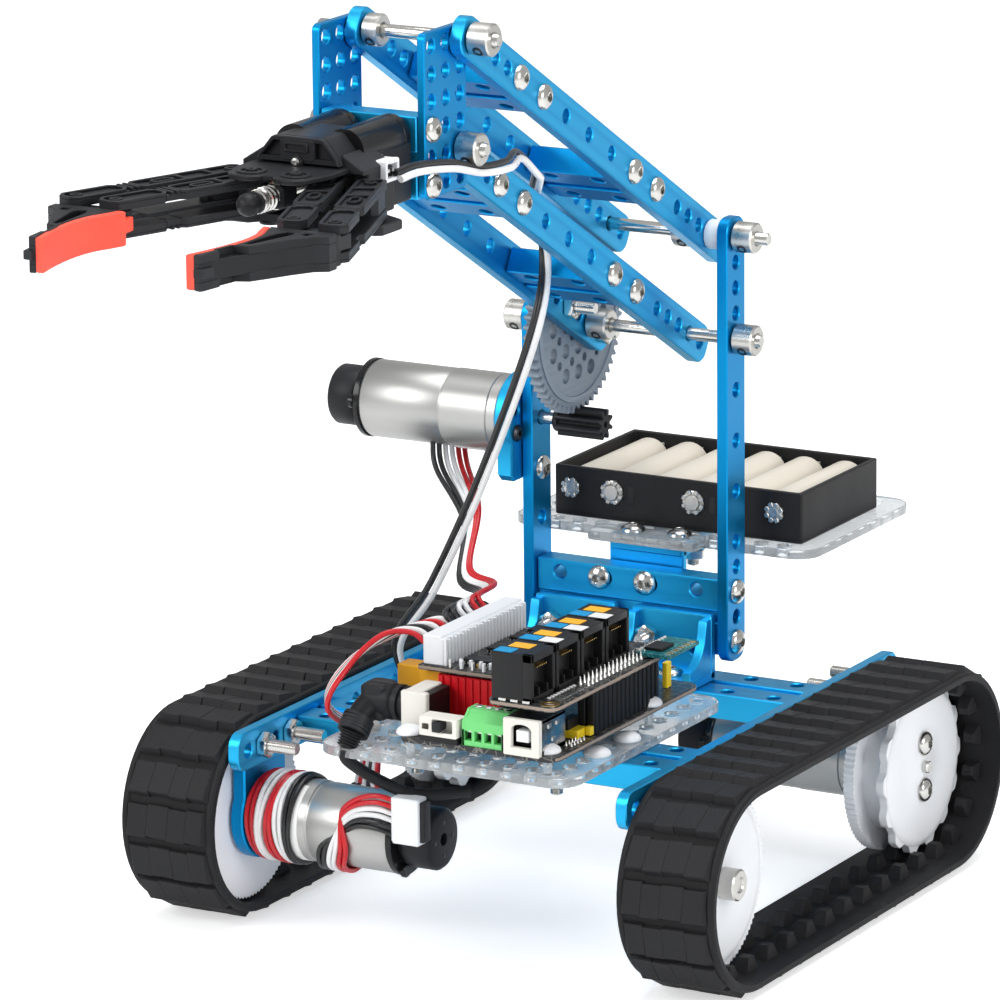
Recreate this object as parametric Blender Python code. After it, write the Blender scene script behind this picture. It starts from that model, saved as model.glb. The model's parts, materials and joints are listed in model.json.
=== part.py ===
"""Tracked construction-kit robot with a parallelogram arm and a gripper.

Lengths are in millimetres in this file and become metres when a mesh is made.
+Z is up, -Y is the front (the gripper points that way) and +X is the side called right here.
The layout is drawn about the middle of the chassis; build() then moves it by FOOTPRINT, so
that the origin is on the ground under the middle of the whole robot's footprint.
"""

import math

import bmesh
import bpy
from mathutils import Matrix, Vector

MM = 0.001
GAP = 0.3

# The kit's lattice: flat bars and beams with holes every PITCH.
PITCH = 8.0
HOLE_R = 2.15
BAR_W = 12.0
BAR_T = 4.0
BEAM_W = 24.0
BEAM_T = 8.0
BAR_END = 6.0
ROD_R = 1.95

# Chassis and tracks.
GROUND_R = 33.0
TRACK_T = 4.8
TRACK_W = 32.0
AXLE_Z = GROUND_R
AXLE_Y = 68.0
RAIL_IN = 64.0
RAIL_OUT = RAIL_IN + BAR_T
RAIL_Z = 57.0
RAIL_HALF = 90.0
TRACK_IN = RAIL_OUT + 1.0
TRACK_OUT = TRACK_IN + TRACK_W
DECK_Z = RAIL_Z + BEAM_T / 2
FRONT_BEAM_Y = -44.0
REAR_BEAM_Y = 36.0
PULLEY_R = 27.6
PULLEY_IN = 73.5
PULLEY_OUT = 88.0
BRACKET_IN = RAIL_OUT + GAP
BRACKET_OUT = 72.6
FLANGE_R = 14.0
FLANGE_HALF = 12.0
FLANGE_BORE = 4.0
MOTOR_R = 12.5
MOTOR_TIP = 6.0
MOTOR_CAP = 12.0
MOTOR_CAP_R = 9.6
GEARBOX = 21.0

# Tower and the two rear pivots of the arm.
TOWER_Y = 42.0
TOWER_IN = 32.0
TOWER_OUT = TOWER_IN + BAR_T
LOWER_Z = 169.0
SIDE = 4 * PITCH
UPPER_Z = LOWER_Z + SIDE
TOWER_BASE = 67.0
TOWER_BEAM_Z = 81.0
FOOT_IN = 3.0
FOOT_OUT = 31.0
FOOT_T = 3.0
FOOT_HEIGHT = 21.0
FOOT_DEPTH = 17.0
COLLAR_R = 4.8
COLLAR_L = 7.0
ROD_STUB = 1.0

# Arm: both bars of a pair, the gripper's two side plates and their planes in X.
ARM_LENGTH = 21 * PITCH
ARM_TILT = math.radians(30.0)
ARM_TAIL = 14.0
SPACER = 30.5
PLATE_T = 2.5
PLATE_OUT = 22.6
PLATE_IN = PLATE_OUT - PLATE_T
LOWER_OUT = PLATE_IN - GAP
UPPER_OUT = PLATE_OUT + GAP + BAR_T
ARM_STEP = SPACER + BAR_T
PLATE_STEP = ARM_STEP
FRONT_Y = TOWER_Y - ARM_LENGTH * math.cos(ARM_TILT)
FRONT_LOWER_Z = LOWER_Z + ARM_LENGTH * math.sin(ARM_TILT)
FRONT_UPPER_Z = FRONT_LOWER_Z + SIDE
BEAM_NEAR = 6 * PITCH
BEAM_FAR = 16 * PITCH

# Arm drive: module 1 gear of 56 teeth and a pinion of 8 teeth.
GEAR_TEETH = 56
PINION_TEETH = 8
GEAR_T = 3.6
GEAR_OUT = LOWER_OUT - ARM_STEP - BAR_T - GAP
PINION_Z = LOWER_Z - (GEAR_TEETH + PINION_TEETH) / 2
ARM_MOTOR_FACE = -42.0
ARM_MOTOR_BACK = -93.0
ARM_MOTOR_FOOT = 19.0
PINION = (-28.0, -8.0)

# Gripper, symmetric about X = GRIP_X.
GRIP_X = PLATE_OUT - PLATE_T - (PLATE_STEP - PLATE_T) / 2
GRIP_BEAM_Y = FRONT_Y - 2 * PITCH
GRIP_FACE_Y = GRIP_BEAM_Y - BEAM_T / 2 - GAP
LINK_Y = -161.5
LINK_LENGTH = 54.5
LINK_TILT = math.radians(20.2)
INNER_X = 9.7
OUTER_X = 22.7
LINK_W = 8.4
LINK_Z = (243.2, 246.0, 251.0, 254.0)
BLOCK_FRONT = -151.0
BLOCK_HALF = 15.0
BLOCK_Z = (241.5, 257.0)
BASE_Z = (239.8, 242.8)
ROOF_Z = (254.4, 257.4)
HOOD_Y = (-163.0, -140.0)
HOOD_TOP = 263.8
BARREL_R = 6.4
BARREL_X = 8.2
BARREL_Z = 258.4
FINGER_Z = (242.0, 252.0)
SCREW_Z = 250.5
SCREW_R = 1.6
SCREW_TIP = -190.0
BALL_R = 3.6
BALL_Y = (-193.0, -186.0)
NUT_Y = (-178.0, -170.0)
NUT_HALF = 4.2
NUT_Z = (247.2, 253.8)

# Boards, trays and batteries: (x0, x1, y0, y1) and heights.
FRONT_TRAY = (-38.0, 49.0, -90.0, 11.0)
TRAY_T = 3.0
TRAY_CORNER = 8.0
BOARD = (-8.0, 45.5, -92.0, 0.0)
BOARD_Z = 69.6
BOARD_T = 1.6
SHIELD = (-14.0, 45.5, -68.0, -16.0)
SHIELD_TONGUE = (22.5, 45.5, -92.0, -67.0)
SHIELD_Z = 85.0
SUNK = 0.4
SWITCH_X = 6.5
SWITCH_H = 3.0
JACKS = 4
JACK_X = (24.0, 37.6)
JACK_PITCH = 15.3
JACK_H = 14.6
HEADER = (-13.0, -6.0, -67.0, -17.0)
HEADER_H = 9.0
BACK_TRAY = (-53.0, 58.0, 49.0, 123.0)
BACK_TRAY_Z = 99.5
HOLDER = (-35.0, 52.0, 55.0, 108.0)
HOLDER_H = 16.0
HOLDER_WALL = 1.7
HOLDER_FLOOR = 1.5
CELLS = 6
CELL_R = 6.7
CELL_LENGTH = 48.0

# From the middle of the chassis to the middle of the footprint, with its sign reversed.
FOOTPRINT = ((MOTOR_CAP - ARM_MOTOR_BACK - TRACK_OUT) / 2, AXLE_Y, 0.0)

SEGMENTS = 24
SMALL = 8

BLUE = ("anodised_blue", (0.0, 0.24, 0.62), 0.35, 0.9)
STEEL = ("bright_steel", (0.62, 0.61, 0.59), 0.3, 1.0)
RUBBER = ("black_rubber", (0.025, 0.025, 0.028), 0.75, 0.0)
WHITE = ("white_nylon", (0.86, 0.88, 0.9), 0.45, 0.0)
BLACK = ("black_nylon", (0.02, 0.021, 0.024), 0.45, 0.0)
GREY = ("grey_nylon", (0.24, 0.27, 0.32), 0.5, 0.0)
CLEAR = ("clear_acrylic", (0.82, 0.88, 0.92), 0.15, 0.0)
CIRCUIT = ("black_circuit", (0.03, 0.03, 0.035), 0.4, 0.0)
CREAM = ("cream_sleeve", (0.78, 0.74, 0.66), 0.4, 0.0)


def material(spec):
    """The Principled material of one finish, made once."""
    name, colour, roughness, metallic = spec
    found = bpy.data.materials.get(name)
    if found:
        return found
    made = bpy.data.materials.new(name)
    made.use_nodes = True
    shader = made.node_tree.nodes["Principled BSDF"]
    shader.inputs["Base Color"].default_value = (*colour, 1.0)
    shader.inputs["Roughness"].default_value = roughness
    shader.inputs["Metallic"].default_value = metallic
    made.diffuse_color = (*colour, 1.0)
    return made


def new_object(name, mesh, finish=None):
    """Link a mesh to the scene as an object with its finish."""
    obj = bpy.data.objects.new(name, mesh)
    bpy.context.scene.collection.objects.link(obj)
    if finish:
        mesh.materials.clear()
        mesh.materials.append(material(finish))
    return obj


def prism_mesh(outline, low, high, axis="Z"):
    """A closed prism: outline in the plane across axis, swept from low to high along it."""
    place = {
        "Z": lambda a, b, c: (a, b, c),
        "X": lambda a, b, c: (c, a, b),
        "Y": lambda a, b, c: (a, c, b),
    }[axis]
    bm = bmesh.new()
    rings = []
    for level in (low, high):
        rings.append([bm.verts.new(Vector(place(a, b, level)) * MM) for a, b in outline])
    bm.faces.new(rings[0])
    bm.faces.new(rings[1])
    count = len(outline)
    for i in range(count):
        j = (i + 1) % count
        bm.faces.new((rings[0][i], rings[0][j], rings[1][j], rings[1][i]))
    bmesh.ops.recalc_face_normals(bm, faces=bm.faces)
    mesh = bpy.data.meshes.new("prism")
    bm.to_mesh(mesh)
    bm.free()
    return mesh


def circle(radius, centre=(0.0, 0.0), segments=SEGMENTS, start=0.0):
    """Points of a circle."""
    points = []
    for i in range(segments):
        angle = start + 2 * math.pi * i / segments
        points.append((centre[0] + radius * math.cos(angle), centre[1] + radius * math.sin(angle)))
    return points


def rectangle(a0, a1, b0, b1):
    """The four corners of a rectangle."""
    return [(a0, b0), (a1, b0), (a1, b1), (a0, b1)]


def rounded(a0, a1, b0, b1, radius, steps=4):
    """A rectangle with round corners."""
    points = []
    corners = ((a1, b1, 0.0), (a0, b1, 90.0), (a0, b0, 180.0), (a1, b0, 270.0))
    for a, b, turn in corners:
        centre_a = a - math.copysign(radius, a - (a0 + a1) / 2)
        centre_b = b - math.copysign(radius, b - (b0 + b1) / 2)
        for i in range(steps + 1):
            angle = math.radians(turn + 90.0 * i / steps)
            points.append((centre_a + radius * math.cos(angle), centre_b + radius * math.sin(angle)))
    return points


def stadium(half, radius, steps=14):
    """An outline with straight sides of 2*half and round ends, centred on (0, AXLE_Z)."""
    points = []
    for side, turn in ((1, -90.0), (-1, 90.0)):
        for i in range(steps + 1):
            angle = math.radians(turn + 180.0 * i / steps)
            points.append((side * half + radius * math.cos(angle), AXLE_Z + radius * math.sin(angle)))
    return points


def solid(name, finish, outline, low, high, axis="Z"):
    """A prism as an object."""
    return new_object(name, prism_mesh(outline, low, high, axis), finish)


def combine(target, tools, operation):
    """Apply Boolean operations to target, one tool at a time, and remove the tools."""
    for tool in tools:
        modifier = target.modifiers.new("boolean", "BOOLEAN")
        modifier.operation = operation
        modifier.solver = "EXACT"
        modifier.object = tool
        depsgraph = bpy.context.evaluated_depsgraph_get()
        result = bpy.data.meshes.new_from_object(target.evaluated_get(depsgraph))
        target.modifiers.clear()
        target.data = result
        bpy.data.objects.remove(tool)
    return target


def cut(target, tools):
    """Remove the tools from target."""
    return combine(target, tools, "DIFFERENCE")


def join(target, tools):
    """Unite the tools with target."""
    return combine(target, tools, "UNION")


def tool(outline, low, high, axis="Z"):
    """A prism that a Boolean uses up."""
    return new_object("tool", prism_mesh(outline, low, high, axis))


def bore(axis, centre, radius, low, high, segments=SMALL):
    """A round cutter along an axis."""
    return tool(circle(radius, centre, segments, math.pi / segments), low, high, axis)


def set_origin(obj, point):
    """Move an object's origin to a point in millimetres and keep its shape in place."""
    offset = Vector(point) * MM
    obj.data.transform(Matrix.Translation(-offset))
    obj.location = offset


def smooth(obj):
    """Round faces shade smoothly and keep their sharp edges."""
    obj.data.shade_smooth()
    obj.data.set_sharp_from_angle(angle=math.radians(35.0))


def bar_outline(length, tail, width=BAR_W):
    """A bar along +a from -tail to length + BAR_END, with its ends chamfered."""
    half = width / 2
    nose = half * 0.45
    end = length + BAR_END
    return [
        (-tail, -nose), (-tail + half - nose, -half), (end - half + nose, -half), (end, -nose),
        (end, nose), (end - half + nose, half), (-tail + half - nose, half), (-tail, nose),
    ]


def turned(points, angle, origin):
    """Rotate outline points about the first axis' origin and move them."""
    c, s = math.cos(angle), math.sin(angle)
    return [(origin[0] + a * c - b * s, origin[1] + a * s + b * c) for a, b in points]


# ---------------------------------------------------------------- chassis


def chassis():
    """Two rails and the two flat cross beams between them."""
    outline = [(a, b + RAIL_Z) for a, b in bar_outline(RAIL_HALF - BAR_END, RAIL_HALF)]
    for name, side in (("rail_left", -1), ("rail_right", 1)):
        low, high = sorted((side * (RAIL_IN + GAP), side * RAIL_OUT))
        solid(name, BLUE, outline, low, high, "X")
    for name, centre in (("front_cross_beam", FRONT_BEAM_Y), ("rear_cross_beam", REAR_BEAM_Y)):
        base = RAIL_Z - BEAM_T / 2
        outline_beam = beam_outline(centre, base)
        solid(name, BLUE, outline_beam, -RAIL_IN, RAIL_IN, "X")


def beam_outline(centre, base):
    """Section of a cross beam: 24 by 8 with a shallow groove along the middle of both faces."""
    groove = 2.4
    depth = 0.8
    half = BEAM_W / 2
    top = base + BEAM_T
    return [
        (centre - half, base), (centre - groove, base), (centre - groove, base + depth),
        (centre + groove, base + depth), (centre + groove, base), (centre + half, base),
        (centre + half, top), (centre + groove, top), (centre + groove, top - depth),
        (centre - groove, top - depth), (centre - groove, top), (centre - half, top),
    ]


def flange_arc(centre, first, steps=16):
    """The round part of a motor flange: two thirds of a circle from the angle first."""
    points = []
    for i in range(steps + 1):
        angle = math.radians(first + 240.0 * i / steps)
        points.append((centre[0] + FLANGE_R * math.cos(angle), centre[1] + FLANGE_R * math.sin(angle)))
    return points


def wheel_bracket(name, side, y):
    """A flat bracket bolted outside the rail, with a round flange on the pulley's axis."""
    low, high = sorted((side * BRACKET_IN, side * BRACKET_OUT))
    top = RAIL_Z + 0.8
    outline = flange_arc((y, AXLE_Z), 150.0)
    outline += [(y + FLANGE_HALF, top), (y - FLANGE_HALF, top)]
    made = solid(name, BLUE, outline, low, high, "X")
    cut(made, [bore("X", (y, AXLE_Z), FLANGE_BORE, low - 1, high + 1, 12)])
    smooth(made)


def track(name, side):
    """A closed rubber belt round both pulleys."""
    low, high = sorted((side * TRACK_IN, side * TRACK_OUT))
    made = solid(name, RUBBER, stadium(AXLE_Y, GROUND_R), low, high, "X")
    cut(made, [tool(stadium(AXLE_Y, GROUND_R - TRACK_T), low - 1, high + 1, "X")])
    smooth(made)


def pulley(name, side, y, shaft_from):
    """A white toothed pulley with its shaft; its origin is on the axle."""
    low, high = sorted((side * PULLEY_IN, side * PULLEY_OUT))
    made = solid(name, WHITE, circle(PULLEY_R, (y, AXLE_Z), 36), low, high, "X")
    low, high = sorted((side * shaft_from, side * (PULLEY_OUT + 2.0)))
    join(made, [tool(circle(ROD_R, (y, AXLE_Z), SMALL), low, high, "X")])
    smooth(made)
    set_origin(made, (side * PULLEY_IN, y, AXLE_Z))


def drive_motor(name, side, y):
    """A geared motor from the bracket's inner face towards the middle of the chassis."""
    face = side * RAIL_OUT
    gearbox = side * (RAIL_OUT - GEARBOX)
    back = side * (MOTOR_TIP + MOTOR_CAP)
    tip = side * MOTOR_TIP
    low, high = sorted((face, gearbox))
    made = solid(name, STEEL, circle(MOTOR_R, (y, AXLE_Z)), low, high, "X")
    low, high = sorted((gearbox + side * 0.5, back))
    can = tool(circle(MOTOR_R - 0.4, (y, AXLE_Z)), low, high, "X")
    low, high = sorted((back + side * 0.5, tip))
    cap = tool(circle(MOTOR_CAP_R, (y, AXLE_Z)), low, high, "X")
    join(made, [can, cap])
    smooth(made)


def undercarriage():
    """Brackets, motors, pulleys and tracks: the motors sit on opposite corners."""
    wheel_bracket("motor_bracket_left", -1, -AXLE_Y)
    wheel_bracket("motor_bracket_right", 1, AXLE_Y)
    wheel_bracket("idler_bracket_left", -1, AXLE_Y)
    wheel_bracket("idler_bracket_right", 1, -AXLE_Y)
    drive_motor("drive_motor_left", -1, -AXLE_Y)
    drive_motor("drive_motor_right", 1, AXLE_Y)
    for side, word in ((-1, "left"), (1, "right")):
        track("track_" + word, side)
        pulley("front_pulley_" + word, side, -AXLE_Y, RAIL_OUT + 1.0)
        pulley("rear_pulley_" + word, side, AXLE_Y, RAIL_OUT + 1.0)


# ---------------------------------------------------------------- tower


def upright(name, side, top):
    """A vertical bar of the tower with its pivot holes."""
    low, high = sorted((side * (TOWER_IN + GAP), side * TOWER_OUT))
    length = top - TOWER_BASE - BAR_END
    flat = bar_outline(length, 0.0)
    outline = [(TOWER_Y - b, TOWER_BASE + a) for a, b in flat]
    made = solid(name, BLUE, outline, low, high, "X")
    levels = [LOWER_Z]
    if top > UPPER_Z:
        levels.append(UPPER_Z)
    else:
        levels.append(PINION_Z)
    cut(made, [bore("X", (TOWER_Y, level), HOLE_R, low - 1, high + 1) for level in levels])
    smooth(made)


def foot_bracket(name, side):
    """A gusseted angle between the tower beam and the rear cross beam."""
    low, high = sorted((side * FOOT_IN, side * FOOT_OUT))
    back = TOWER_Y - BEAM_T / 2 - GAP
    front = back - FOOT_DEPTH
    wall = back - FOOT_T
    base = DECK_Z + GAP
    top = base + FOOT_HEIGHT
    outline = [
        (back, base), (back, top), (wall, top), (wall, base + FOOT_T),
        (front, base + FOOT_T), (front, base),
    ]
    made = solid(name, BLUE, outline, low, high, "X")
    web = [(wall + 0.5, base + 1), (wall + 0.5, top - FOOT_T), (front + 1, base + 2), (front + 1, base + 1)]
    ribs = []
    for edge in (low, high - FOOT_T):
        ribs.append(tool(web, edge, edge + FOOT_T, "X"))
    join(made, ribs)


def tower():
    """Two uprights of different height, the beam between them and its feet."""
    upright("upright_right", 1, UPPER_Z + BAR_END)
    upright("upright_left", -1, LOWER_Z + BAR_END)
    flat = beam_outline(TOWER_BEAM_Z, TOWER_Y - BEAM_T / 2)
    outline = [(b, a) for a, b in flat]
    solid("tower_beam", BLUE, outline, -TOWER_IN, TOWER_IN, "X")
    foot_bracket("foot_bracket_right", 1)
    foot_bracket("foot_bracket_left", -1)


def rod(name, z, low, high, collars):
    """A steel rod along X through the tower, with its clamping collars."""
    made = solid(name, STEEL, circle(ROD_R, (TOWER_Y, z), 12), low, high, "X")
    join(made, [tool(circle(COLLAR_R, (TOWER_Y, z), 16), a, b, "X") for a, b in collars])
    smooth(made)


def rods():
    """The two rear pivot rods, fixed in the tower."""
    step = TOWER_OUT + GAP
    collar = step + COLLAR_L
    rod("lower_pivot_rod", LOWER_Z, -collar - ROD_STUB, collar + 1.5 * ROD_STUB,
        ((-collar, -step), (step, collar)))
    rod("upper_pivot_rod", UPPER_Z, UPPER_OUT - ARM_STEP - BAR_T - 3 * ROD_STUB, collar + 4 * ROD_STUB,
        ((step, collar),))


# ---------------------------------------------------------------- arm


def arm_point(distance, z):
    """A point on an arm bar, measured from its rear pivot."""
    return (TOWER_Y - distance * math.cos(ARM_TILT), z + distance * math.sin(ARM_TILT))


def arm_bar(name, outer, z):
    """One bar of the arm; its origin is on the rear pivot."""
    flat = bar_outline(ARM_LENGTH, ARM_TAIL)
    outline = turned(flat, math.pi - ARM_TILT, (TOWER_Y, z))
    made = solid(name, BLUE, outline, outer - BAR_T, outer, "X")
    holes = []
    for distance in (0.0, ARM_LENGTH):
        holes.append(bore("X", arm_point(distance, z), HOLE_R, outer - BAR_T - 1, outer + 1))
    cut(made, holes)
    set_origin(made, (outer, TOWER_Y, z))


def arm_beam(name, outer, z, distance):
    """A cross beam between the two bars, its wide side along the arm."""
    low = outer - ARM_STEP
    high = outer - BAR_T
    flat = beam_outline(distance, -BEAM_T / 2)
    outline = turned(flat, math.pi - ARM_TILT, (TOWER_Y, z))
    made = solid(name, BLUE, outline, low + GAP, high - GAP, "X")
    set_origin(made, (outer, TOWER_Y, z))


def toothed(teeth, module, centre, start):
    """Outline of a spur gear: straight-sided teeth between root and tip circles."""
    pitch_r = teeth * module / 2
    root = pitch_r - 1.25 * module
    tip = pitch_r + 0.92 * module
    step = 2 * math.pi / teeth
    points = []
    for i in range(teeth):
        base = start + i * step
        for radius, share in ((root, -0.36), (tip, -0.11), (tip, 0.11), (root, 0.36)):
            angle = base + share * step
            points.append((centre[0] + radius * math.cos(angle), centre[1] + radius * math.sin(angle)))
    return points


def arm():
    """Upper and lower bar pairs, their cross beams, the big gear and its pinion."""
    pairs = (("lower", LOWER_OUT, LOWER_Z), ("upper", UPPER_OUT, UPPER_Z))
    for word, outer, z in pairs:
        arm_bar(word + "_bar_right", outer, z)
        arm_bar(word + "_bar_left", outer - ARM_STEP, z)
        arm_beam(word + "_cross_beam_rear", outer, z, BEAM_NEAR)
        arm_beam(word + "_cross_beam_front", outer, z, BEAM_FAR)
    gear = solid("arm_gear", GREY, toothed(GEAR_TEETH, 1.0, (TOWER_Y, LOWER_Z), -math.pi / 2),
                 GEAR_OUT - GEAR_T, GEAR_OUT, "X")
    cut(gear, [bore("X", (TOWER_Y, LOWER_Z), HOLE_R, GEAR_OUT - GEAR_T - 1, GEAR_OUT + 1)])
    set_origin(gear, (GEAR_OUT, TOWER_Y, LOWER_Z))
    centre = (TOWER_Y, PINION_Z)
    space_up = math.pi / 2 + math.pi / PINION_TEETH
    pinion = solid("arm_pinion", BLACK, toothed(PINION_TEETH, 1.0, centre, space_up), *PINION, "X")
    join(pinion, [tool(circle(ROD_R, centre, SMALL), ARM_MOTOR_FACE + GAP, PINION[0] + 1, "X")])
    set_origin(pinion, (ARM_MOTOR_FACE, TOWER_Y, PINION_Z))


def arm_drive():
    """The arm's geared motor and the angle that holds it on the left upright."""
    centre = (TOWER_Y, PINION_Z)
    motor = solid("arm_motor", STEEL, circle(MOTOR_R, centre), ARM_MOTOR_BACK, ARM_MOTOR_FACE, "X")
    join(motor, [tool(circle(MOTOR_CAP_R, centre), ARM_MOTOR_BACK - MOTOR_CAP, ARM_MOTOR_BACK + 1, "X")])
    smooth(motor)
    low, high = ARM_MOTOR_FACE + GAP, -TOWER_OUT - GAP
    outline = flange_arc(centre, -30.0)
    foot = centre[1] - ARM_MOTOR_FOOT
    outline += [(centre[0] - FLANGE_HALF, foot), (centre[0] + FLANGE_HALF, foot)]
    bracket = solid("arm_motor_bracket", BLUE, outline, low, high, "X")
    cut(bracket, [bore("X", centre, FLANGE_BORE, low - 1, high + 1, 12)])
    smooth(bracket)


# ---------------------------------------------------------------- gripper


def gripper_bracket():
    """Two punched plates and the cross beam that carries the gripper."""
    back = FRONT_Y + PITCH / 2
    front = back - BEAM_W
    top = FRONT_UPPER_Z + PITCH / 2
    bottom = top - 6 * PITCH
    for name, outer in (("bracket_plate_right", PLATE_OUT), ("bracket_plate_left", PLATE_OUT - PLATE_STEP)):
        made = solid(name, BLUE, rounded(front, back, bottom, top, 2.0, 2), outer - PLATE_T, outer, "X")
        holes = []
        for z in (FRONT_LOWER_Z, FRONT_UPPER_Z):
            holes.append(bore("X", (FRONT_Y, z), HOLE_R, outer - PLATE_T - 1, outer + 1))
        cut(made, holes)
        set_origin(made, (outer, FRONT_Y, FRONT_LOWER_Z))
    flat = beam_outline(FRONT_LOWER_Z, GRIP_BEAM_Y - BEAM_T / 2)
    beam = solid("bracket_cross_beam", BLUE, [(b, a) for a, b in flat],
                 PLATE_OUT - PLATE_STEP + GAP, PLATE_IN - GAP, "X")
    set_origin(beam, (GRIP_X, FRONT_Y, FRONT_LOWER_Z))


def mirrored(points):
    """An outline symmetric about GRIP_X from its right half, listed from one end to the other."""
    right = [(GRIP_X + a, b) for a, b in points]
    left = [(GRIP_X - a, b) for a, b in reversed(points)]
    return right + left


def gripper_housing():
    """The gripper's body: rear block, two barrels, hood, and the plates over and under the links."""
    block = rectangle(GRIP_X - BLOCK_HALF, GRIP_X + BLOCK_HALF, BLOCK_FRONT, GRIP_FACE_Y)
    made = solid("gripper_housing", BLACK, block, *BLOCK_Z)
    base = tool(mirrored([(16.0, -148.0), (29.0, -155.0), (29.0, -167.0)]), *BASE_Z)
    roof = tool(mirrored([(14.0, -148.0), (15.0, -172.0), (9.0, -180.0)]), *ROOF_Z)
    hood = tool(mirrored([(13.4, BLOCK_Z[1]), (BARREL_X, HOOD_TOP)]), *HOOD_Y, "Y")
    barrels = []
    for side in (-1, 1):
        ring = circle(BARREL_R, (GRIP_X + side * BARREL_X, BARREL_Z), 16)
        barrels.append(tool(ring, BLOCK_FRONT + 1, GRIP_FACE_Y - 0.05, "Y"))
    join(made, [base, roof, hood] + barrels)
    set_origin(made, (GRIP_X, FRONT_Y, FRONT_LOWER_Z))


def link_outline():
    """Side view of a link, along the link: two plates joined by a web at the rear pivot."""
    nose = LINK_LENGTH + LINK_W / 2
    tail = -LINK_W / 2
    web = 10.0
    low0, low1, high0, high1 = LINK_Z
    return [(tail, low0), (nose, low0), (nose, low1), (web, low1), (web, high0), (nose, high0),
            (nose, high1), (tail, high1)]


def link(name, side, offset):
    """One of the four parallel links; its origin is on its rear pivot."""
    made = solid(name, BLACK, link_outline(), -LINK_W / 2, LINK_W / 2, "Y")
    notch = 1.9
    corner = []
    for end, turn in ((-LINK_W / 2, -1), (LINK_LENGTH + LINK_W / 2, 1)):
        for half in (-LINK_W / 2, LINK_W / 2):
            corner.append(tool([(end + turn, half + math.copysign(1, half)),
                                (end + turn, half - math.copysign(notch, half)),
                                (end, half - math.copysign(notch, half)),
                                (end - turn * notch, half),
                                (end - turn * notch, half + math.copysign(1, half))],
                               LINK_Z[0] - 1, LINK_Z[3] + 1))
    cut(made, corner)
    pivot = Vector((GRIP_X + side * offset, LINK_Y, 0.0))
    heading = -math.pi / 2 + side * LINK_TILT
    made.data.transform(Matrix.Translation(pivot * MM) @ Matrix.Rotation(heading, 4, "Z"))
    set_origin(made, (pivot.x, pivot.y, LINK_Z[0]))


def finger(name, side):
    """A jaw that stays parallel; its origin is on the outer link's front pivot."""
    reach_x = LINK_LENGTH * math.sin(LINK_TILT)
    reach_y = LINK_LENGTH * math.cos(LINK_TILT)
    pivot_y = LINK_Y - reach_y
    inner = INNER_X + reach_x
    outer = OUTER_X + reach_x

    def across(points):
        return [(GRIP_X + side * a, b) for a, b in points]

    body = [(inner - 6.5, pivot_y - 5.2), (25.0, -226.0), (26.2, -234.0), (25.2, -244.0), (22.8, -257.0),
            (23.4, -259.0), (27.0, -259.0), (28.6, -250.0), (33.0, -240.0), (37.5, -230.0),
            (outer + 3.5, pivot_y - 9.0), (outer + 3.5, pivot_y - 5.2)]
    made = solid(name, BLACK, across(body), *FINGER_Z)
    tab = rectangle(inner - 3.6, outer + 3.4, pivot_y - 7.0, pivot_y + 3.0)
    join(made, [tool(across(tab), LINK_Z[1] + GAP, LINK_Z[2] - GAP)])
    set_origin(made, (GRIP_X + side * outer, pivot_y, LINK_Z[0]))


def gripper_drive():
    """The lead screw with its round end cap, and the nut that slides on it."""
    centre = (GRIP_X, SCREW_Z)
    screw = solid("gripper_screw", STEEL, circle(SCREW_R, centre, SMALL), SCREW_TIP, BLOCK_FRONT - GAP, "Y")
    join(screw, [tool(circle(BALL_R, centre, 12), *BALL_Y, "Y")])
    set_origin(screw, (GRIP_X, BLOCK_FRONT, SCREW_Z))
    nut = solid("gripper_nut", BLACK, rectangle(GRIP_X - NUT_HALF, GRIP_X + NUT_HALF, *NUT_Z), *NUT_Y, "Y")
    cut(nut, [bore("Y", centre, SCREW_R + 0.4, NUT_Y[0] - 1, NUT_Y[1] + 1)])
    set_origin(nut, (GRIP_X, sum(NUT_Y) / 2, SCREW_Z))


def gripper():
    """Everything in front of the arm."""
    gripper_bracket()
    gripper_housing()
    gripper_drive()
    for side, word in ((-1, "left"), (1, "right")):
        link("inner_link_" + word, side, INNER_X)
        link("outer_link_" + word, side, OUTER_X)
        finger("finger_" + word, side)


# ---------------------------------------------------------------- boards and batteries


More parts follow.
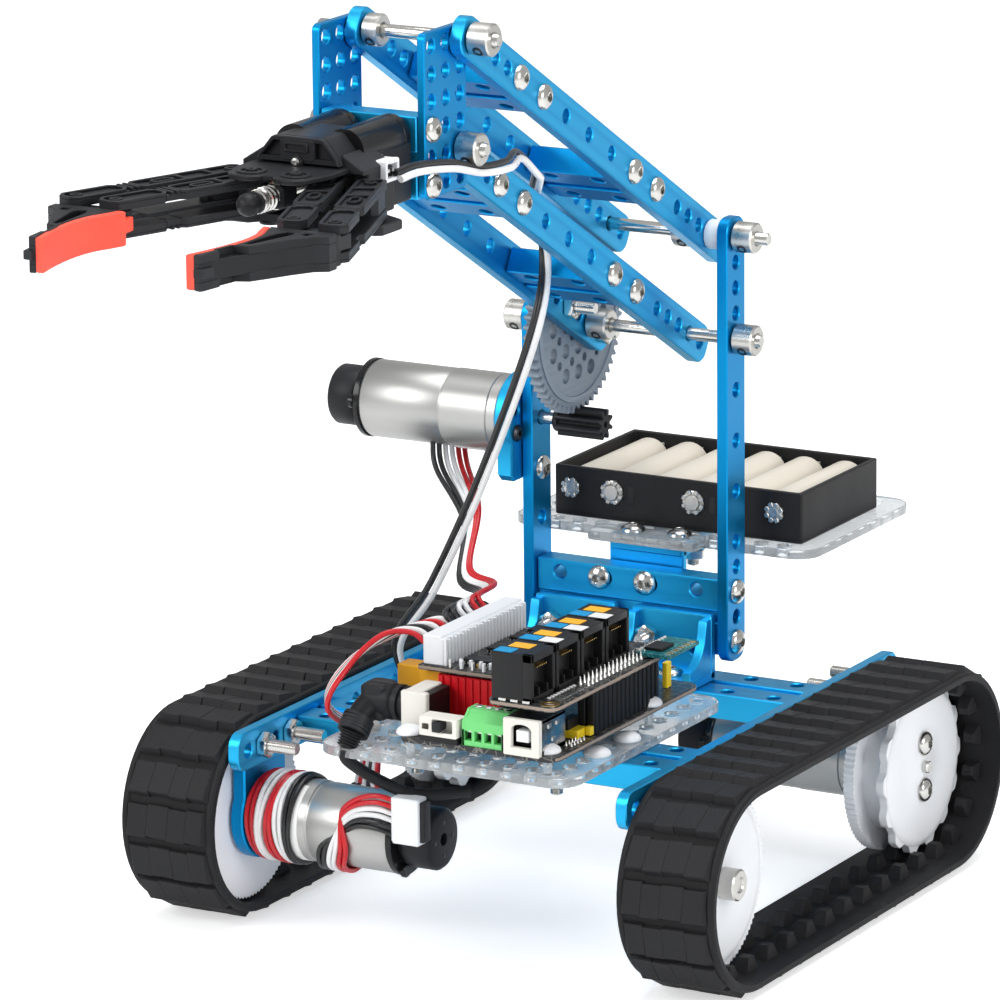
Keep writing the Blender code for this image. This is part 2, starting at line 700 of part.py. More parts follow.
def controller():
    """Clear tray, controller board with its connectors, and the driver board above it."""
    tray_base = DECK_Z + GAP
    solid("controller_tray", CLEAR, rounded(*FRONT_TRAY, TRAY_CORNER), tray_base, tray_base + TRAY_T)
    board = solid("controller_board", CIRCUIT, rounded(*BOARD, 3.0, 2), BOARD_Z, BOARD_Z + BOARD_T)
    top = BOARD_Z + BOARD_T
    x0, _, y0, y1 = BOARD
    high = SHIELD_Z - GAP
    blocks = [
        (x0 + 37.0, x0 + 49.0, y0 - 1.5, y0 + 15.0, top + 11.0),
        (x0 + 22.0, x0 + 36.2, y0 + 0.5, y0 + 10.5, top + 10.5),
        (x0 - 3.5, x0 + 5.2, y0 + 9.0, y0 + 24.0, top + 11.0),
        (x0 + 50.0, x0 + 52.5, y0 + 30.0, y1 - 8.0, high),
        (x0 + 1.5, x0 + 4.0, y0 + 30.0, y1 - 8.0, high),
    ]
    parts = [tool(rectangle(a0, a1, b0, b1), top - SUNK, c1) for a0, a1, b0, b1, c1 in blocks]
    sill = rectangle(SWITCH_X - 6.3, SWITCH_X + 6.3, y0 - 0.6, y0 + 6.0)
    parts.append(tool(sill, top - SUNK, top + SWITCH_H))
    post_r = 2.6
    posts = []
    for x in (x0 + 3.5, x0 + 50.0):
        for y in (y0 + 4.0, y1 - 4.0):
            posts.append(tool(circle(post_r, (x, y), SMALL), tray_base + TRAY_T + GAP, BOARD_Z + SUNK))
    join(board, parts + posts)
    knob = solid("power_switch_knob", BLACK, rectangle(SWITCH_X - 1.5, SWITCH_X + 1.5, y0 - 2.0, y0 + 3.0),
                 top + SWITCH_H + GAP, top + 2 * SWITCH_H + 0.5)
    set_origin(knob, (SWITCH_X, y0, top + SWITCH_H + GAP))
    driver_board()


def driver_board():
    """The stepped upper board with its row of modular jacks and its long motor header."""
    board = solid("driver_board", CIRCUIT, rectangle(*SHIELD), SHIELD_Z, SHIELD_Z + BOARD_T)
    top = SHIELD_Z + BOARD_T
    parts = [tool(rectangle(*SHIELD_TONGUE), SHIELD_Z, top)]
    for i in range(JACKS):
        front = SHIELD_TONGUE[2] + 0.8 + i * JACK_PITCH
        parts.append(tool(rectangle(*JACK_X, front, front + JACK_PITCH - 0.9), top - SUNK, top + JACK_H))
    parts.append(tool(rectangle(*HEADER), top - SUNK, top + HEADER_H))
    join(board, parts)


def power():
    """Clear tray behind the tower, the battery holder and its cells."""
    tray = solid("battery_tray", CLEAR, rounded(*BACK_TRAY, TRAY_CORNER), BACK_TRAY_Z, BACK_TRAY_Z + TRAY_T)
    wall = TOWER_Y + BEAM_T / 2 + GAP
    half = 14.0
    shelf_z = BACK_TRAY_Z - 2.9
    foot = tool(rectangle(-half, half, wall, wall + 3.0), 72.0, shelf_z + SUNK)
    shelf = tool(rectangle(-half, half, wall, 68.0), shelf_z, BACK_TRAY_Z + SUNK)
    join(tray, [foot, shelf])
    base = BACK_TRAY_Z + TRAY_T + GAP
    x0, x1, y0, y1 = HOLDER
    holder = solid("battery_holder", BLACK, rectangle(*HOLDER), base, base + HOLDER_H)
    inner = rectangle(x0 + HOLDER_WALL, x1 - HOLDER_WALL, y0 + HOLDER_WALL, y1 - HOLDER_WALL)
    cut(holder, [tool(inner, base + HOLDER_FLOOR, base + HOLDER_H + 1)])
    step = (x1 - x0 - 2 * HOLDER_WALL) / CELLS
    middle = (y0 + y1) / 2
    for i in range(CELLS):
        centre = (x0 + HOLDER_WALL + step * (i + 0.5), base + HOLDER_FLOOR + GAP + CELL_R)
        cell = solid("battery_cell_" + str(i + 1), CREAM, circle(CELL_R, centre, 16),
                     middle - CELL_LENGTH / 2, middle + CELL_LENGTH / 2, "Y")
        smooth(cell)


def build():
    """Clear the scene and model every sub-part."""
    for obj in list(bpy.data.objects):
        bpy.data.objects.remove(obj)
    chassis()
    undercarriage()
    tower()
    rods()
    arm()
    arm_drive()
    gripper()
    controller()
    power()
    for obj in bpy.data.objects:
        obj.location += Vector(FOOTPRINT) * MM


build()
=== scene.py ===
"""Looks of the tracked kit robot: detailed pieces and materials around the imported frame.

Lengths are in millimetres in the frame's own axes: +Z is up, -Y is the front and +X is the right.
Shape turns them into metres when it makes an object.  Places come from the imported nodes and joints.
"""

import json
import math
import random

import bmesh
import bpy
from mathutils import Matrix, Vector


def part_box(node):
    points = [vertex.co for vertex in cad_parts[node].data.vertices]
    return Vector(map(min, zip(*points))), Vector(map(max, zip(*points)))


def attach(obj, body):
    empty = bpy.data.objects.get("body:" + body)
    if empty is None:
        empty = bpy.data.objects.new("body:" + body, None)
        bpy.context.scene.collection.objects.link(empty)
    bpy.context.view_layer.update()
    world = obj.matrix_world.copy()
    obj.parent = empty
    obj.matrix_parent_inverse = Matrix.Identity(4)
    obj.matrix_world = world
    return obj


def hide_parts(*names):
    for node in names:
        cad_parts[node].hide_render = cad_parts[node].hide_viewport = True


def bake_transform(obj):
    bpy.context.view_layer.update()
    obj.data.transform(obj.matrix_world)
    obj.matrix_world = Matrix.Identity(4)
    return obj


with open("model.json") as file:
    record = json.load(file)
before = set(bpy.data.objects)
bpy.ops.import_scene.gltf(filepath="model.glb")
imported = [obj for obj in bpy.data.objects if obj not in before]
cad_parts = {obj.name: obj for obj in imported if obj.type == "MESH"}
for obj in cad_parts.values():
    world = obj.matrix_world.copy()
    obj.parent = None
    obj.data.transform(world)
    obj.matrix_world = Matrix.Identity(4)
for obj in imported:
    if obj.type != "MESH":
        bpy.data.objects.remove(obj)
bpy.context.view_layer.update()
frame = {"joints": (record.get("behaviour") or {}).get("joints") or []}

MM = 0.001
PITCH = 8.0
HOLE_R = 2.2
TRAY_HOLE_R = 2.1
BAR_HALF = 6.0  # half the width of a bar
BAR_CORNER = 4.6
BEAM_HALF = 12.0  # half the width of a cross beam
EDGE = 0.35  # usual chamfer
SCREW_R = 3.9
SCREW_H = 2.3
NUT_R = 3.5  # half its width across the flats
ROD_R = 1.95
COLLAR_R = 4.8
BOLT_CIRCLE = 9.6  # radius of the holes round a motor's axle
CLEARANCE = 0.3  # gap between a collar and what it holds
WIRE_R = 0.85

X = Vector((1, 0, 0))
Y = Vector((0, 1, 0))
Z = Vector((0, 0, 1))
COLLAR_WAY = Vector((0, -0.75, -0.65))  # where the collars' set screws point
SIDES = ((-1, "left"), (1, "right"))
JOINTS = {joint["name"]: joint for joint in frame["joints"]}


def low(node):
    """Lowest corner of a CAD node."""
    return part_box(node)[0] / MM


def high(node):
    """Highest corner of a CAD node."""
    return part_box(node)[1] / MM


def middle(node):
    """Centre of a CAD node's box."""
    return (low(node) + high(node)) / 2


def pivot(joint):
    """A joint's place."""
    return Vector(JOINTS[joint]["pos_m"]) / MM


def at(origin, out, along=Z):
    """A placement with local Z pointing out and local X pointing along, as nearly as it can."""
    z = Vector(out).normalized()
    x = Vector(along) - z * z.dot(Vector(along))
    if x.length < 0.01:
        x = z.orthogonal()
    x.normalize()
    place = Matrix((x, z.cross(x), z)).transposed().to_4x4()
    place.translation = Vector(origin)
    return place


# ---------------------------------------------------------------- materials


def noise(tree, scale, stretch, detail):
    """A noise in the object's own metres; scale is features per metre."""
    place = tree.nodes.new("ShaderNodeTexCoord")
    mapping = tree.nodes.new("ShaderNodeMapping")
    texture = tree.nodes.new("ShaderNodeTexNoise")
    mapping.inputs["Scale"].default_value = stretch
    texture.inputs["Scale"].default_value = scale
    texture.inputs["Detail"].default_value = detail
    tree.links.new(place.outputs["Object"], mapping.inputs["Vector"])
    tree.links.new(mapping.outputs["Vector"], texture.inputs["Vector"])
    return texture.outputs["Fac"]


def ramp(tree, value, from_range, to_range=(0, 1)):
    """Map one range of a value to another."""
    node = tree.nodes.new("ShaderNodeMapRange")
    node.inputs["From Min"].default_value, node.inputs["From Max"].default_value = from_range
    node.inputs["To Min"].default_value, node.inputs["To Max"].default_value = to_range
    tree.links.new(value, node.inputs["Value"])
    return node.outputs["Result"]


def mixed(tree, share, first, second):
    """A colour between two colours or sockets."""
    node = tree.nodes.new("ShaderNodeMix")
    node.data_type = "RGBA"
    tree.links.new(share, node.inputs["Factor"])
    for name, colour in (("A", first), ("B", second)):
        socket = [s for s in node.inputs if s.name == name and s.type == "RGBA"][0]
        if isinstance(colour, bpy.types.NodeSocket):
            tree.links.new(colour, socket)
        else:
            socket.default_value = (*colour, 1)
    return [s for s in node.outputs if s.type == "RGBA"][0]


NOISE_CORE = (0.3, 0.7)  # where most of a noise lies
EDGE_CORE = (0.5, 0.62)  # pointiness from flat to a sharp edge


def finish(name, colour, roughness, metallic=0, broad=45, fine=2500, stretch=(1, 1, 1),
           shade=0.12, bump=0.08, edge=None, **inputs):
    """A Principled material with patches of colour, a fine surface texture and optional lighter edges, part
    wear and dust, part painted highlight.
    """
    made = bpy.data.materials.new(name)
    made.use_nodes = True
    tree = made.node_tree
    shader = tree.nodes["Principled BSDF"]
    patches = noise(tree, broad, stretch, 3)
    grain = noise(tree, fine, stretch, 2)
    dark = [c * (1 - shade) for c in colour]
    light = [min(1, c * (1 + shade)) for c in colour]
    tint = mixed(tree, ramp(tree, patches, NOISE_CORE), dark, light)
    # Lighter colour at sharp convex edges: partly real wear and dust, partly a painted highlight where edges
    # catch the light.
    if edge:
        edge_wear_and_highlight = tree.nodes.new("ShaderNodeNewGeometry").outputs["Pointiness"]
        tint = mixed(tree, ramp(tree, edge_wear_and_highlight, EDGE_CORE), tint, edge)
    tree.links.new(tint, shader.inputs["Base Color"])
    gloss = ramp(tree, patches, NOISE_CORE, (roughness - 0.05, roughness + 0.07))
    tree.links.new(gloss, shader.inputs["Roughness"])
    relief = tree.nodes.new("ShaderNodeBump")
    relief.inputs["Strength"].default_value = bump
    relief.inputs["Distance"].default_value = 0.0003
    tree.links.new(grain, relief.inputs["Height"])
    tree.links.new(relief.outputs["Normal"], shader.inputs["Normal"])
    shader.inputs["Metallic"].default_value = metallic
    for key, value in inputs.items():
        shader.inputs[key.replace("_", " ")].default_value = value
    return made


def circuit(name, mask, trace):
    """Solder mask with thin straight tracks and round pads."""
    made = finish(name, mask, 0.35, fine=900)
    tree = made.node_tree
    shader = tree.nodes["Principled BSDF"]
    shade = shader.inputs["Base Color"].links[0].from_socket
    place = tree.nodes.new("ShaderNodeTexCoord")
    tracks = tree.nodes.new("ShaderNodeTexVoronoi")
    tracks.feature = "DISTANCE_TO_EDGE"
    tracks.inputs["Scale"].default_value = 260
    pads = tree.nodes.new("ShaderNodeTexVoronoi")
    pads.inputs["Scale"].default_value = 420
    pads.inputs["Randomness"].default_value = 0.7
    for texture, width in ((tracks, 0.035), (pads, 0.14)):
        tree.links.new(place.outputs["Object"], texture.inputs["Vector"])
        step = tree.nodes.new("ShaderNodeMath")
        step.operation = "LESS_THAN"
        step.inputs[1].default_value = width
        tree.links.new(texture.outputs["Distance"], step.inputs[0])
        shade = mixed(tree, step.outputs[0], shade, trace)
    tree.links.new(shade, shader.inputs["Base Color"])
    return made


# The edge colours given below are lighter colours at sharp edges: part wear and dust, part painted highlight.
BLUE = finish("anodised_blue", (0, 0.27, 0.61), 0.36, 0.85, fine=5000, shade=0.05, bump=0.12,
              edge=(0.03, 0.5, 0.86), Specular_IOR_Level=0.5)
STEEL = finish("bright_steel", (0.66, 0.65, 0.62), 0.2, 1, fine=1500, stretch=(1, 6, 6), bump=0.05)
NICKEL = finish("turned_nickel", (0.6, 0.59, 0.56), 0.3, 1, fine=3000, stretch=(5, 1, 1), bump=0.12)
CAN = finish("drawn_can", (0.47, 0.47, 0.455), 0.37, 0.9, broad=60, fine=900, stretch=(0.15, 2, 2),
             shade=0.1, bump=0.05)
DARK_STEEL = finish("blackened_steel", (0.06, 0.06, 0.065), 0.35, 0.9)
GOLD = finish("gilt_pin", (0.8, 0.55, 0.2), 0.3, 1)
RUBBER = finish("track_rubber", (0.011, 0.011, 0.012), 0.55, fine=1400, broad=70, shade=0.3, bump=0.35,
                edge=(0.024, 0.024, 0.026), Specular_IOR_Level=0.18)
BLACK = finish("black_nylon", (0.009, 0.0095, 0.011), 0.42, fine=3000, shade=0.2, bump=0.2,
               edge=(0.024, 0.025, 0.028), Specular_IOR_Level=0.2)
GLOSS_BLACK = finish("gloss_black", (0.008, 0.008, 0.009), 0.22, bump=0.03, Specular_IOR_Level=0.35)
HOLDER_BLACK = finish("holder_black", (0.011, 0.011, 0.012), 0.5, fine=2200, bump=0.25,
                      Specular_IOR_Level=0.3)
GREY = finish("grey_nylon", (0.16, 0.2, 0.25), 0.45, bump=0.15, edge=(0.24, 0.29, 0.35))
WHITE = finish("white_nylon", (0.84, 0.86, 0.89), 0.4, broad=30, shade=0.04, bump=0.05,
               Subsurface_Weight=0.15, Subsurface_Radius=(0.003, 0.003, 0.003))
CREAM = finish("connector_cream", (0.78, 0.76, 0.7), 0.42, shade=0.05, bump=0.06)
SLEEVE = finish("cell_sleeve", (0.68, 0.63, 0.54), 0.35, broad=80, stretch=(1, 0.2, 1), shade=0.05, bump=0.05)
PAD_RED = finish("silicone_red", (0.9, 0.085, 0.045), 0.45, broad=60, shade=0.08, bump=0.12,
                 Subsurface_Weight=0.2, Subsurface_Radius=(0.004, 0.001, 0.001))
ACRYLIC = finish("frosted_acrylic", (0.95, 0.98, 1), 0.12, broad=60, fine=700, shade=0.02, bump=0.05,
                 Transmission_Weight=0.8, IOR=1.42)
BOARD = circuit("board_black", (0.012, 0.013, 0.016), (0.16, 0.15, 0.13))
BOARD_GREEN = circuit("board_teal", (0, 0.11, 0.13), (0.05, 0.3, 0.3))
BOARD_EDGE = finish("board_edge", (0.33, 0.26, 0.21), 0.6, fine=1500)
CHIP = finish("chip_black", (0.01, 0.01, 0.011), 0.4, bump=0.1, Specular_IOR_Level=0.3)
SOLDER = finish("tinned", (0.7, 0.7, 0.68), 0.3, 1, bump=0.2)
TERMINAL = finish("terminal_green", (0.16, 0.64, 0.19), 0.4, shade=0.06)
RED = finish("header_red", (0.74, 0.003, 0.012), 0.38, shade=0.08)
YELLOW = finish("header_yellow", (0.85, 0.62, 0.02), 0.4, shade=0.06, bump=0.06)
ORANGE = finish("label_orange", (1, 0.48, 0.02), 0.5, shade=0.05, bump=0.04)
CYAN = finish("label_cyan", (0, 0.3, 0.62), 0.5, shade=0.05, bump=0.04)
LABEL = finish("label_white", (0.8, 0.8, 0.79), 0.55, broad=90, shade=0.04, bump=0.06)
WIRE_RED = finish("wire_red", (0.55, 0.008, 0.015), 0.3, broad=120)
WIRE_WHITE = finish("wire_white", (0.8, 0.8, 0.8), 0.32, broad=120, shade=0.06)
WIRE_BLACK = finish("wire_black", (0.014, 0.014, 0.015), 0.3, broad=120, shade=0.2)


# ---------------------------------------------------------------- outlines and solids


def turned(radius, angle, centre=(0, 0)):
    """The point at a distance and an angle in radians from a centre."""
    return (centre[0] + radius * math.cos(angle), centre[1] + radius * math.sin(angle))


def arc(radius, start, end, steps, centre=(0, 0)):
    """Points of an arc between two angles in degrees."""
    step = (end - start) / steps
    return [turned(radius, math.radians(start + step * i), centre) for i in range(steps + 1)]


def circle(radius, centre=(0, 0), segments=20):
    """Points of a circle."""
    return [turned(radius, 2 * math.pi * i / segments, centre) for i in range(segments)]


def rounded(a0, a1, b0, b1, radius, steps=5):
    """A rectangle with round corners."""
    points = []
    for a, b, turn in ((a1 - radius, b1 - radius, 0), (a0 + radius, b1 - radius, 90),
                       (a0 + radius, b0 + radius, 180), (a1 - radius, b0 + radius, 270)):
        points += arc(radius, turn, turn + 90, steps, (a, b))
    return points


def slot_hole(centre, half, radius):
    """A hole along local X with straight sides and round ends."""
    return rounded(centre - half, centre + half, -radius, radius, radius * 0.999, 6)


def ring(inner, outer, centre=(0, 0), segments=30):
    """Outline and hole of a flat ring."""
    return circle(outer, centre, segments), [circle(inner, centre, segments)]


def mirrored(points):
    """An outline symmetric about zero from its right half."""
    return points + [(-a, b) for a, b in reversed(points)]


def every(start, stop, step):
    """Values from start up to and including stop."""
    return [start + i * step for i in range(round((stop - start) / step) + 1)]


def spline(points, steps=8):
    """Points on a smooth curve through the given points."""
    knots = [Vector(p) for p in points]
    knots = [2 * knots[0] - knots[1]] + knots + [2 * knots[-1] - knots[-2]]
    path = []
    for i in range(1, len(knots) - 2):
        p0, p1, p2, p3 = knots[i - 1:i + 3]
        for k in range(steps):
            t = k / steps
            bend = (2 * p0 - 5 * p1 + 4 * p2 - p3) * t * t + (3 * p1 - p0 - 3 * p2 + p3) * t ** 3
            path.append(0.5 * (2 * p1 + (p2 - p0) * t + bend))
    path.append(knots[-2])
    return path


class Shape:
    """Closed bodies gathered into one piece."""

    def __init__(self, name, default):
        self.name = name
        self.finishes = [default]
        self.bm = bmesh.new()

    def keep(self, part, material, place):
        """Add a finished body to the piece."""
        material = material or self.finishes[0]
        if material not in self.finishes:
            self.finishes.append(material)
        if place:
            part.transform(place)
        bmesh.ops.recalc_face_normals(part, faces=part.faces)
        for face in part.faces:
            face.material_index = self.finishes.index(material)
        mesh = bpy.data.meshes.new("part")
        part.to_mesh(mesh)
        part.free()
        self.bm.from_mesh(mesh)
        bpy.data.meshes.remove(mesh)

    def plate(self, outline, base, top, holes=(), material=None, place=None, edge=EDGE):
        """A flat plate with holes and chamfered edges, in local X and Y, between two heights."""
        curve = bpy.data.curves.new("plate", "CURVE")
        curve.dimensions = "2D"
        curve.fill_mode = "BOTH"
        for loop in [outline] + list(holes):
            path = curve.splines.new("POLY")
            path.points.add(len(loop) - 1)
            for point, (a, b) in zip(path.points, loop):
                point.co = (a, b, 0, 1)
            path.use_cyclic_u = True
        curve.extrude = (top - base) / 2 - edge
        curve.bevel_depth = edge
        curve.bevel_resolution = 0
        curve.offset = -edge
        holder = bpy.data.objects.new("plate", curve)
        mesh = bpy.data.meshes.new_from_object(holder)
        part = bmesh.new()
        part.from_mesh(mesh)
        bmesh.ops.remove_doubles(part, verts=part.verts, dist=1e-4)
        bmesh.ops.translate(part, verts=part.verts, vec=(0, 0, (base + top) / 2))
        bpy.data.objects.remove(holder)
        bpy.data.curves.remove(curve)
        bpy.data.meshes.remove(mesh)
        self.keep(part, material, place)

    def block(self, corner, opposite, material=None, place=None, radius=0.5, edge=0.2):
        """A box with rounded upright edges."""
        (x0, x1), (y0, y1), (z0, z1) = (sorted(pair) for pair in zip(corner, opposite))
        small = min(radius, (x1 - x0) * 0.45, (y1 - y0) * 0.45)
        self.plate(rounded(x0, x1, y0, y1, small, 3), z0, z1, (), material, place, min(edge, small * 0.6))

    def bridge(self, part, rows):
        """Quads, or triangles at a row of one point, between rows that each go once round."""
        count = max(len(row) for row in rows)
        for one, two in zip(rows, rows[1:]):
            for i in range(count):
                j = (i + 1) % count
                corners = [one[i % len(one)], one[j % len(one)], two[j % len(two)], two[i % len(two)]]
                part.faces.new(list(dict.fromkeys(corners)))
        for row in (rows[0], rows[-1]):
            if len(row) > 1:
                part.faces.new(row)

    def lathe(self, rings, material=None, place=None, segments=24):
        """A solid of revolution about local Z.  A ring is (radius, height), with True for a hexagon."""
        part = bmesh.new()
        rows = []
        for radius, height, *hexagon in rings:
            row = []
            for i in range(segments if radius > 1e-6 else 1):
                angle = 2 * math.pi * i / segments
                reach = radius / math.cos(angle % (math.pi / 3) - math.pi / 6) if hexagon else radius
                row.append(part.verts.new((*turned(reach, angle), height)))
            rows.append(row)
        self.bridge(part, rows)
        self.keep(part, material, place)

    def tube(self, path, radius, material=None, segments=8):
        """A round bar along a path; radius is a number, or one number for each point."""
        radii = radius if isinstance(radius, list) else [radius] * len(path)
        part = bmesh.new()
        rows = []
        side = None
        for i, point in enumerate(path):
            ahead = (path[min(i + 1, len(path) - 1)] - path[max(i - 1, 0)]).normalized()
            side = ahead.orthogonal() if side is None else side
            side = (side - ahead * side.dot(ahead)).normalized()
            up = ahead.cross(side)
            round_it = circle(radii[i], segments=segments)
            rows.append([part.verts.new(point + a * side + b * up) for a, b in round_it])
        self.bridge(part, rows)
        self.keep(part, material, None)

    def hexahedron(self, points):
        """A closed body from four base corners and the four corners above them."""
        part = bmesh.new()
        corners = [part.verts.new(p) for p in points]
        for face in ((0, 1, 2, 3), (4, 5, 6, 7), (0, 1, 5, 4), (1, 2, 6, 5), (2, 3, 7, 6), (3, 0, 4, 7)):
            part.faces.new([corners[i] for i in face])
        self.keep(part, None, None)

    def place(self, body, *nodes, soft=0):
        """Make the object, let it ride on a body and stand for the named CAD nodes."""
        mesh = bpy.data.meshes.new(self.name)
        self.bm.transform(Matrix.Scale(MM, 4))
        self.bm.to_mesh(mesh)
        self.bm.free()
        for material in self.finishes:
            mesh.materials.append(material)
        mesh.shade_smooth()
        mesh.set_sharp_from_angle(angle=math.radians(38))
        piece = bpy.data.objects.new(self.name, mesh)
        bpy.context.scene.collection.objects.link(piece)
        if soft:
            bevel = piece.modifiers.new("soft edges", "BEVEL")
            bevel.width = soft * MM
            bevel.segments = 2
            bevel.limit_method = "ANGLE"
            bevel.angle_limit = math.radians(35)
        if body:
            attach(piece, body)
        if nodes:
            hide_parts(*nodes)
        return piece

    # -------------------------------------------------- kit hardware

    def screw(self, point, out):
        """A button-head screw with a hexagon socket, seated on a surface at point."""
        rings = [(0, -0.2), (1.9, -0.2), (SCREW_R - 0.2, -0.15), (SCREW_R, 0.25)]
        for reach, rise in arc(1, 18, 72, 3):
            rings.append((SCREW_R * reach * 0.98 + 0.1, 0.25 + (SCREW_H - 0.25) * rise))
        rings += [(1.35, SCREW_H, True), (1.3, 0.7, True), (0, 0.45)]
        self.lathe(rings, STEEL, at(point, out))

    def nut(self, point, out, bolt=5.0):
        """A hexagon nut on a surface at point, with the threaded end of its bolt standing out."""
        level = 3.1
        rings = [(0, 0), (3.2, 0), (NUT_R, 0.3, True), (NUT_R, 2.7, True), (level, level), (1.9, level)]
        while level < bolt:
            rings += [(1.7, level + 0.2), (2, level + 0.45)]
            level += 0.6
        rings += [(1.6, level + 0.3), (0, level + 0.3)]
        self.lathe(rings, STEEL, at(point, out))

    def collar(self, point, out, screw_way=COLLAR_WAY, length=7.0):
        """A clamping collar from point outwards, with its set screw on the side."""
        rim = COLLAR_R - 0.5
        rings = [(ROD_R, 0), (rim, 0), (COLLAR_R, 0.5), (COLLAR_R, length - 0.5), (rim, length),
                 (ROD_R + 0.5, length), (ROD_R, length - 0.6), (0, length - 0.6)]
        self.lathe(rings, NICKEL, at(point, out), 32)
        seat = Vector(point) + Vector(out) * length / 2 + screw_way.normalized() * (COLLAR_R - 0.55)
        rings = [(0, -1), (1.75, -1), (1.75, 0.4), (1.45, 0.62), (0.9, 0.62, True), (0.85, -0.4, True),
                 (0, -0.5)]
        self.lathe(rings, DARK_STEEL, at(seat, screw_way))

    def rod(self, start, end):
        """A round rod with chamfered ends."""
        start, end = Vector(start), Vector(end)
        length = (end - start).length
        tip = ROD_R - 0.3
        rings = [(0, 0), (tip, 0), (ROD_R, 0.4), (ROD_R, length - 0.4), (tip, length), (0, length)]
        self.lathe(rings, STEEL, at(start, end - start))


# ---------------------------------------------------------------- kit parts shared by several pieces


def beam(shape, place, half_length, columns):
    """A 24 by 8 beam centred on its placement: two drilled strips and the recessed web between them."""
    for side in (-1, 1):
        inner, outer = sorted((side * 1.7, side * BEAM_HALF))
        holes = [circle(HOLE_R, (a, side * PITCH)) for a in columns]
        shape.plate(rounded(-half_length, half_length, inner, outer, 0.5, 2), -4, 4, holes, place=place)
    shape.plate(rounded(-half_length, half_length, -2.2, 2.2, 0.3, 1), -2.9, 2.9, place=place, edge=0.1)


def bar_outline(a0, a1):
    """A 12 wide bar with well rounded ends."""
    return rounded(a0, a1, -BAR_HALF, BAR_HALF, BAR_CORNER, 6)


def arc_band(inner, outer, start, end, steps=24):
    """Part of a ring between two angles in degrees."""
    return arc(outer, start, end, steps) + arc(inner, end, start, steps)


def flange_outline(drop, arm=12.0, radius=14.0):
    """A round flange about the origin with a straight neck that ends at height drop."""
    way = 1 if drop > 0 else -1
    neck = [(arm, drop - way * 2), (arm - 2, drop), (2 - arm, drop), (-arm, drop - way * 2)]
    return arc(radius, 150 * way, 390 * way, 28) + neck


# ---------------------------------------------------------------- chassis


def chassis():
    """Rails and cross beams with all their holes, nuts and screws."""
    beams = (middle("front_cross_beam").y, middle("rear_cross_beam").y)
    for side, word in SIDES:
        node = "rail_" + word
        lowest, highest, centre = low(node), high(node), middle(node)
        half = (highest.y - lowest.y) / 2
        rail = Shape(word + "_rail", BLUE)
        place = at((lowest.x, centre.y, centre.z), X, Y)
        holes = [circle(HOLE_R, (a, 0)) for a in every(-84, 84, PITCH)]
        rail.plate(bar_outline(-half, half), 0, highest.x - lowest.x, holes, place=place)
        inside, outside = (lowest.x, highest.x) if side > 0 else (highest.x, lowest.x)
        for bracket, bolt in (("motor_bracket_", 12.0), ("idler_bracket_", 4.5)):
            for shift in (-PITCH, PITCH):
                rail.nut((inside, middle(bracket + word).y + shift, centre.z), -side * X, bolt)
        for y in beams:
            for shift in (-PITCH, PITCH):
                rail.screw((outside, y + shift, centre.z), side * X)
        rail.place("root", node)
    for word in ("front", "rear"):
        node = word + "_cross_beam"
        piece = Shape("drilled_%s_beam" % word, BLUE)
        half = (high(node).x - low(node).x) / 2
        beam(piece, at(middle(node), Z, X), half, every(-56, 56, 2 * PITCH))
        for x in ((-24, 24) if word == "front" else ()):
            piece.nut(middle(node) + Vector((x, -PITCH, -4)), -Z)
        piece.place("root", node)


def drilled_flange(piece, node, axle, end, drilled):
    """A flange plate whose neck ends at height end, with a ring of holes round the axle."""
    place = at((low(node).x, axle.y, axle.z), X, Y)
    ways = [2 * math.pi * (i + 0.5) / drilled for i in range(drilled)]
    holes = [circle(3.6, segments=24)] + [circle(1.7, turned(BOLT_CIRCLE, way), 14) for way in ways]
    piece.plate(flange_outline(end - axle.z), 0, high(node).x - low(node).x, holes, place=place, edge=0.5)


def wheel_bracket(name, node, axle, drilled):
    """A flange outside the rail."""
    piece = Shape(name, BLUE)
    drilled_flange(piece, node, axle, high(node).z, drilled)
    piece.place("root", node)


def motor(name, node, face, way, turn):
    """A geared motor: gearbox with its label, drawn can, black end ring and encoder cap."""
    tip = low(node).x if way.x < 0 else high(node).x
    length = abs(tip - face.x)
    can = length - 12
    piece = Shape(name, CAN)
    place = at(face, way, Z)
    body = [(0, 0), (11.9, 0), (12.4, 0.5), (12.45, 3.4), (12.2, 3.7), (12.5, 4), (12.5, 20.3), (12.1, 20.7),
            (12.1, 21.2), (12.3, 21.6), (12.3, can - 2.2), (11.8, can - 1.4), (0, can - 1.4)]
    piece.lathe(body, CAN, place, 48)
    label = arc_band(12.5, 12.62, turn, turn + 150)
    piece.plate(label, 5.5, 18, material=LABEL, place=place, edge=0.02)
    end_ring = circle(12.55, segments=48)
    piece.plate(end_ring, can - 1.4, can + 0.6, material=GLOSS_BLACK, place=place, edge=0.3)
    for i in range(3):
        ear = circle(2.2, turned(11, 2 * math.pi * i / 3 + 0.6), 14)
        piece.plate(ear, can + 0.4, can + 2.2, material=GLOSS_BLACK, place=place, edge=0.3)
    cap = [(0, can), (7.8, can), (7.8, can + 2), (9.3, can + 2.4), (9.6, can + 3), (9.6, length - 1.2),
           (9, length - 0.4), (8.2, length), (2, length), (1.8, length - 2), (0, length - 2)]
    piece.lathe(cap, BLACK, place, 40)
    for a, b in circle(5.2, segments=4):
        spot = place @ Vector((a, b, length - 0.1))
        stud = [(0, -0.5), (0.8, -0.5), (0.8, 0.1), (0.6, 0.25), (0, 0.25)]
        piece.lathe(stud, DARK_STEEL, at(spot, way), 12)
    piece.place("root", node)


# ---------------------------------------------------------------- tracks

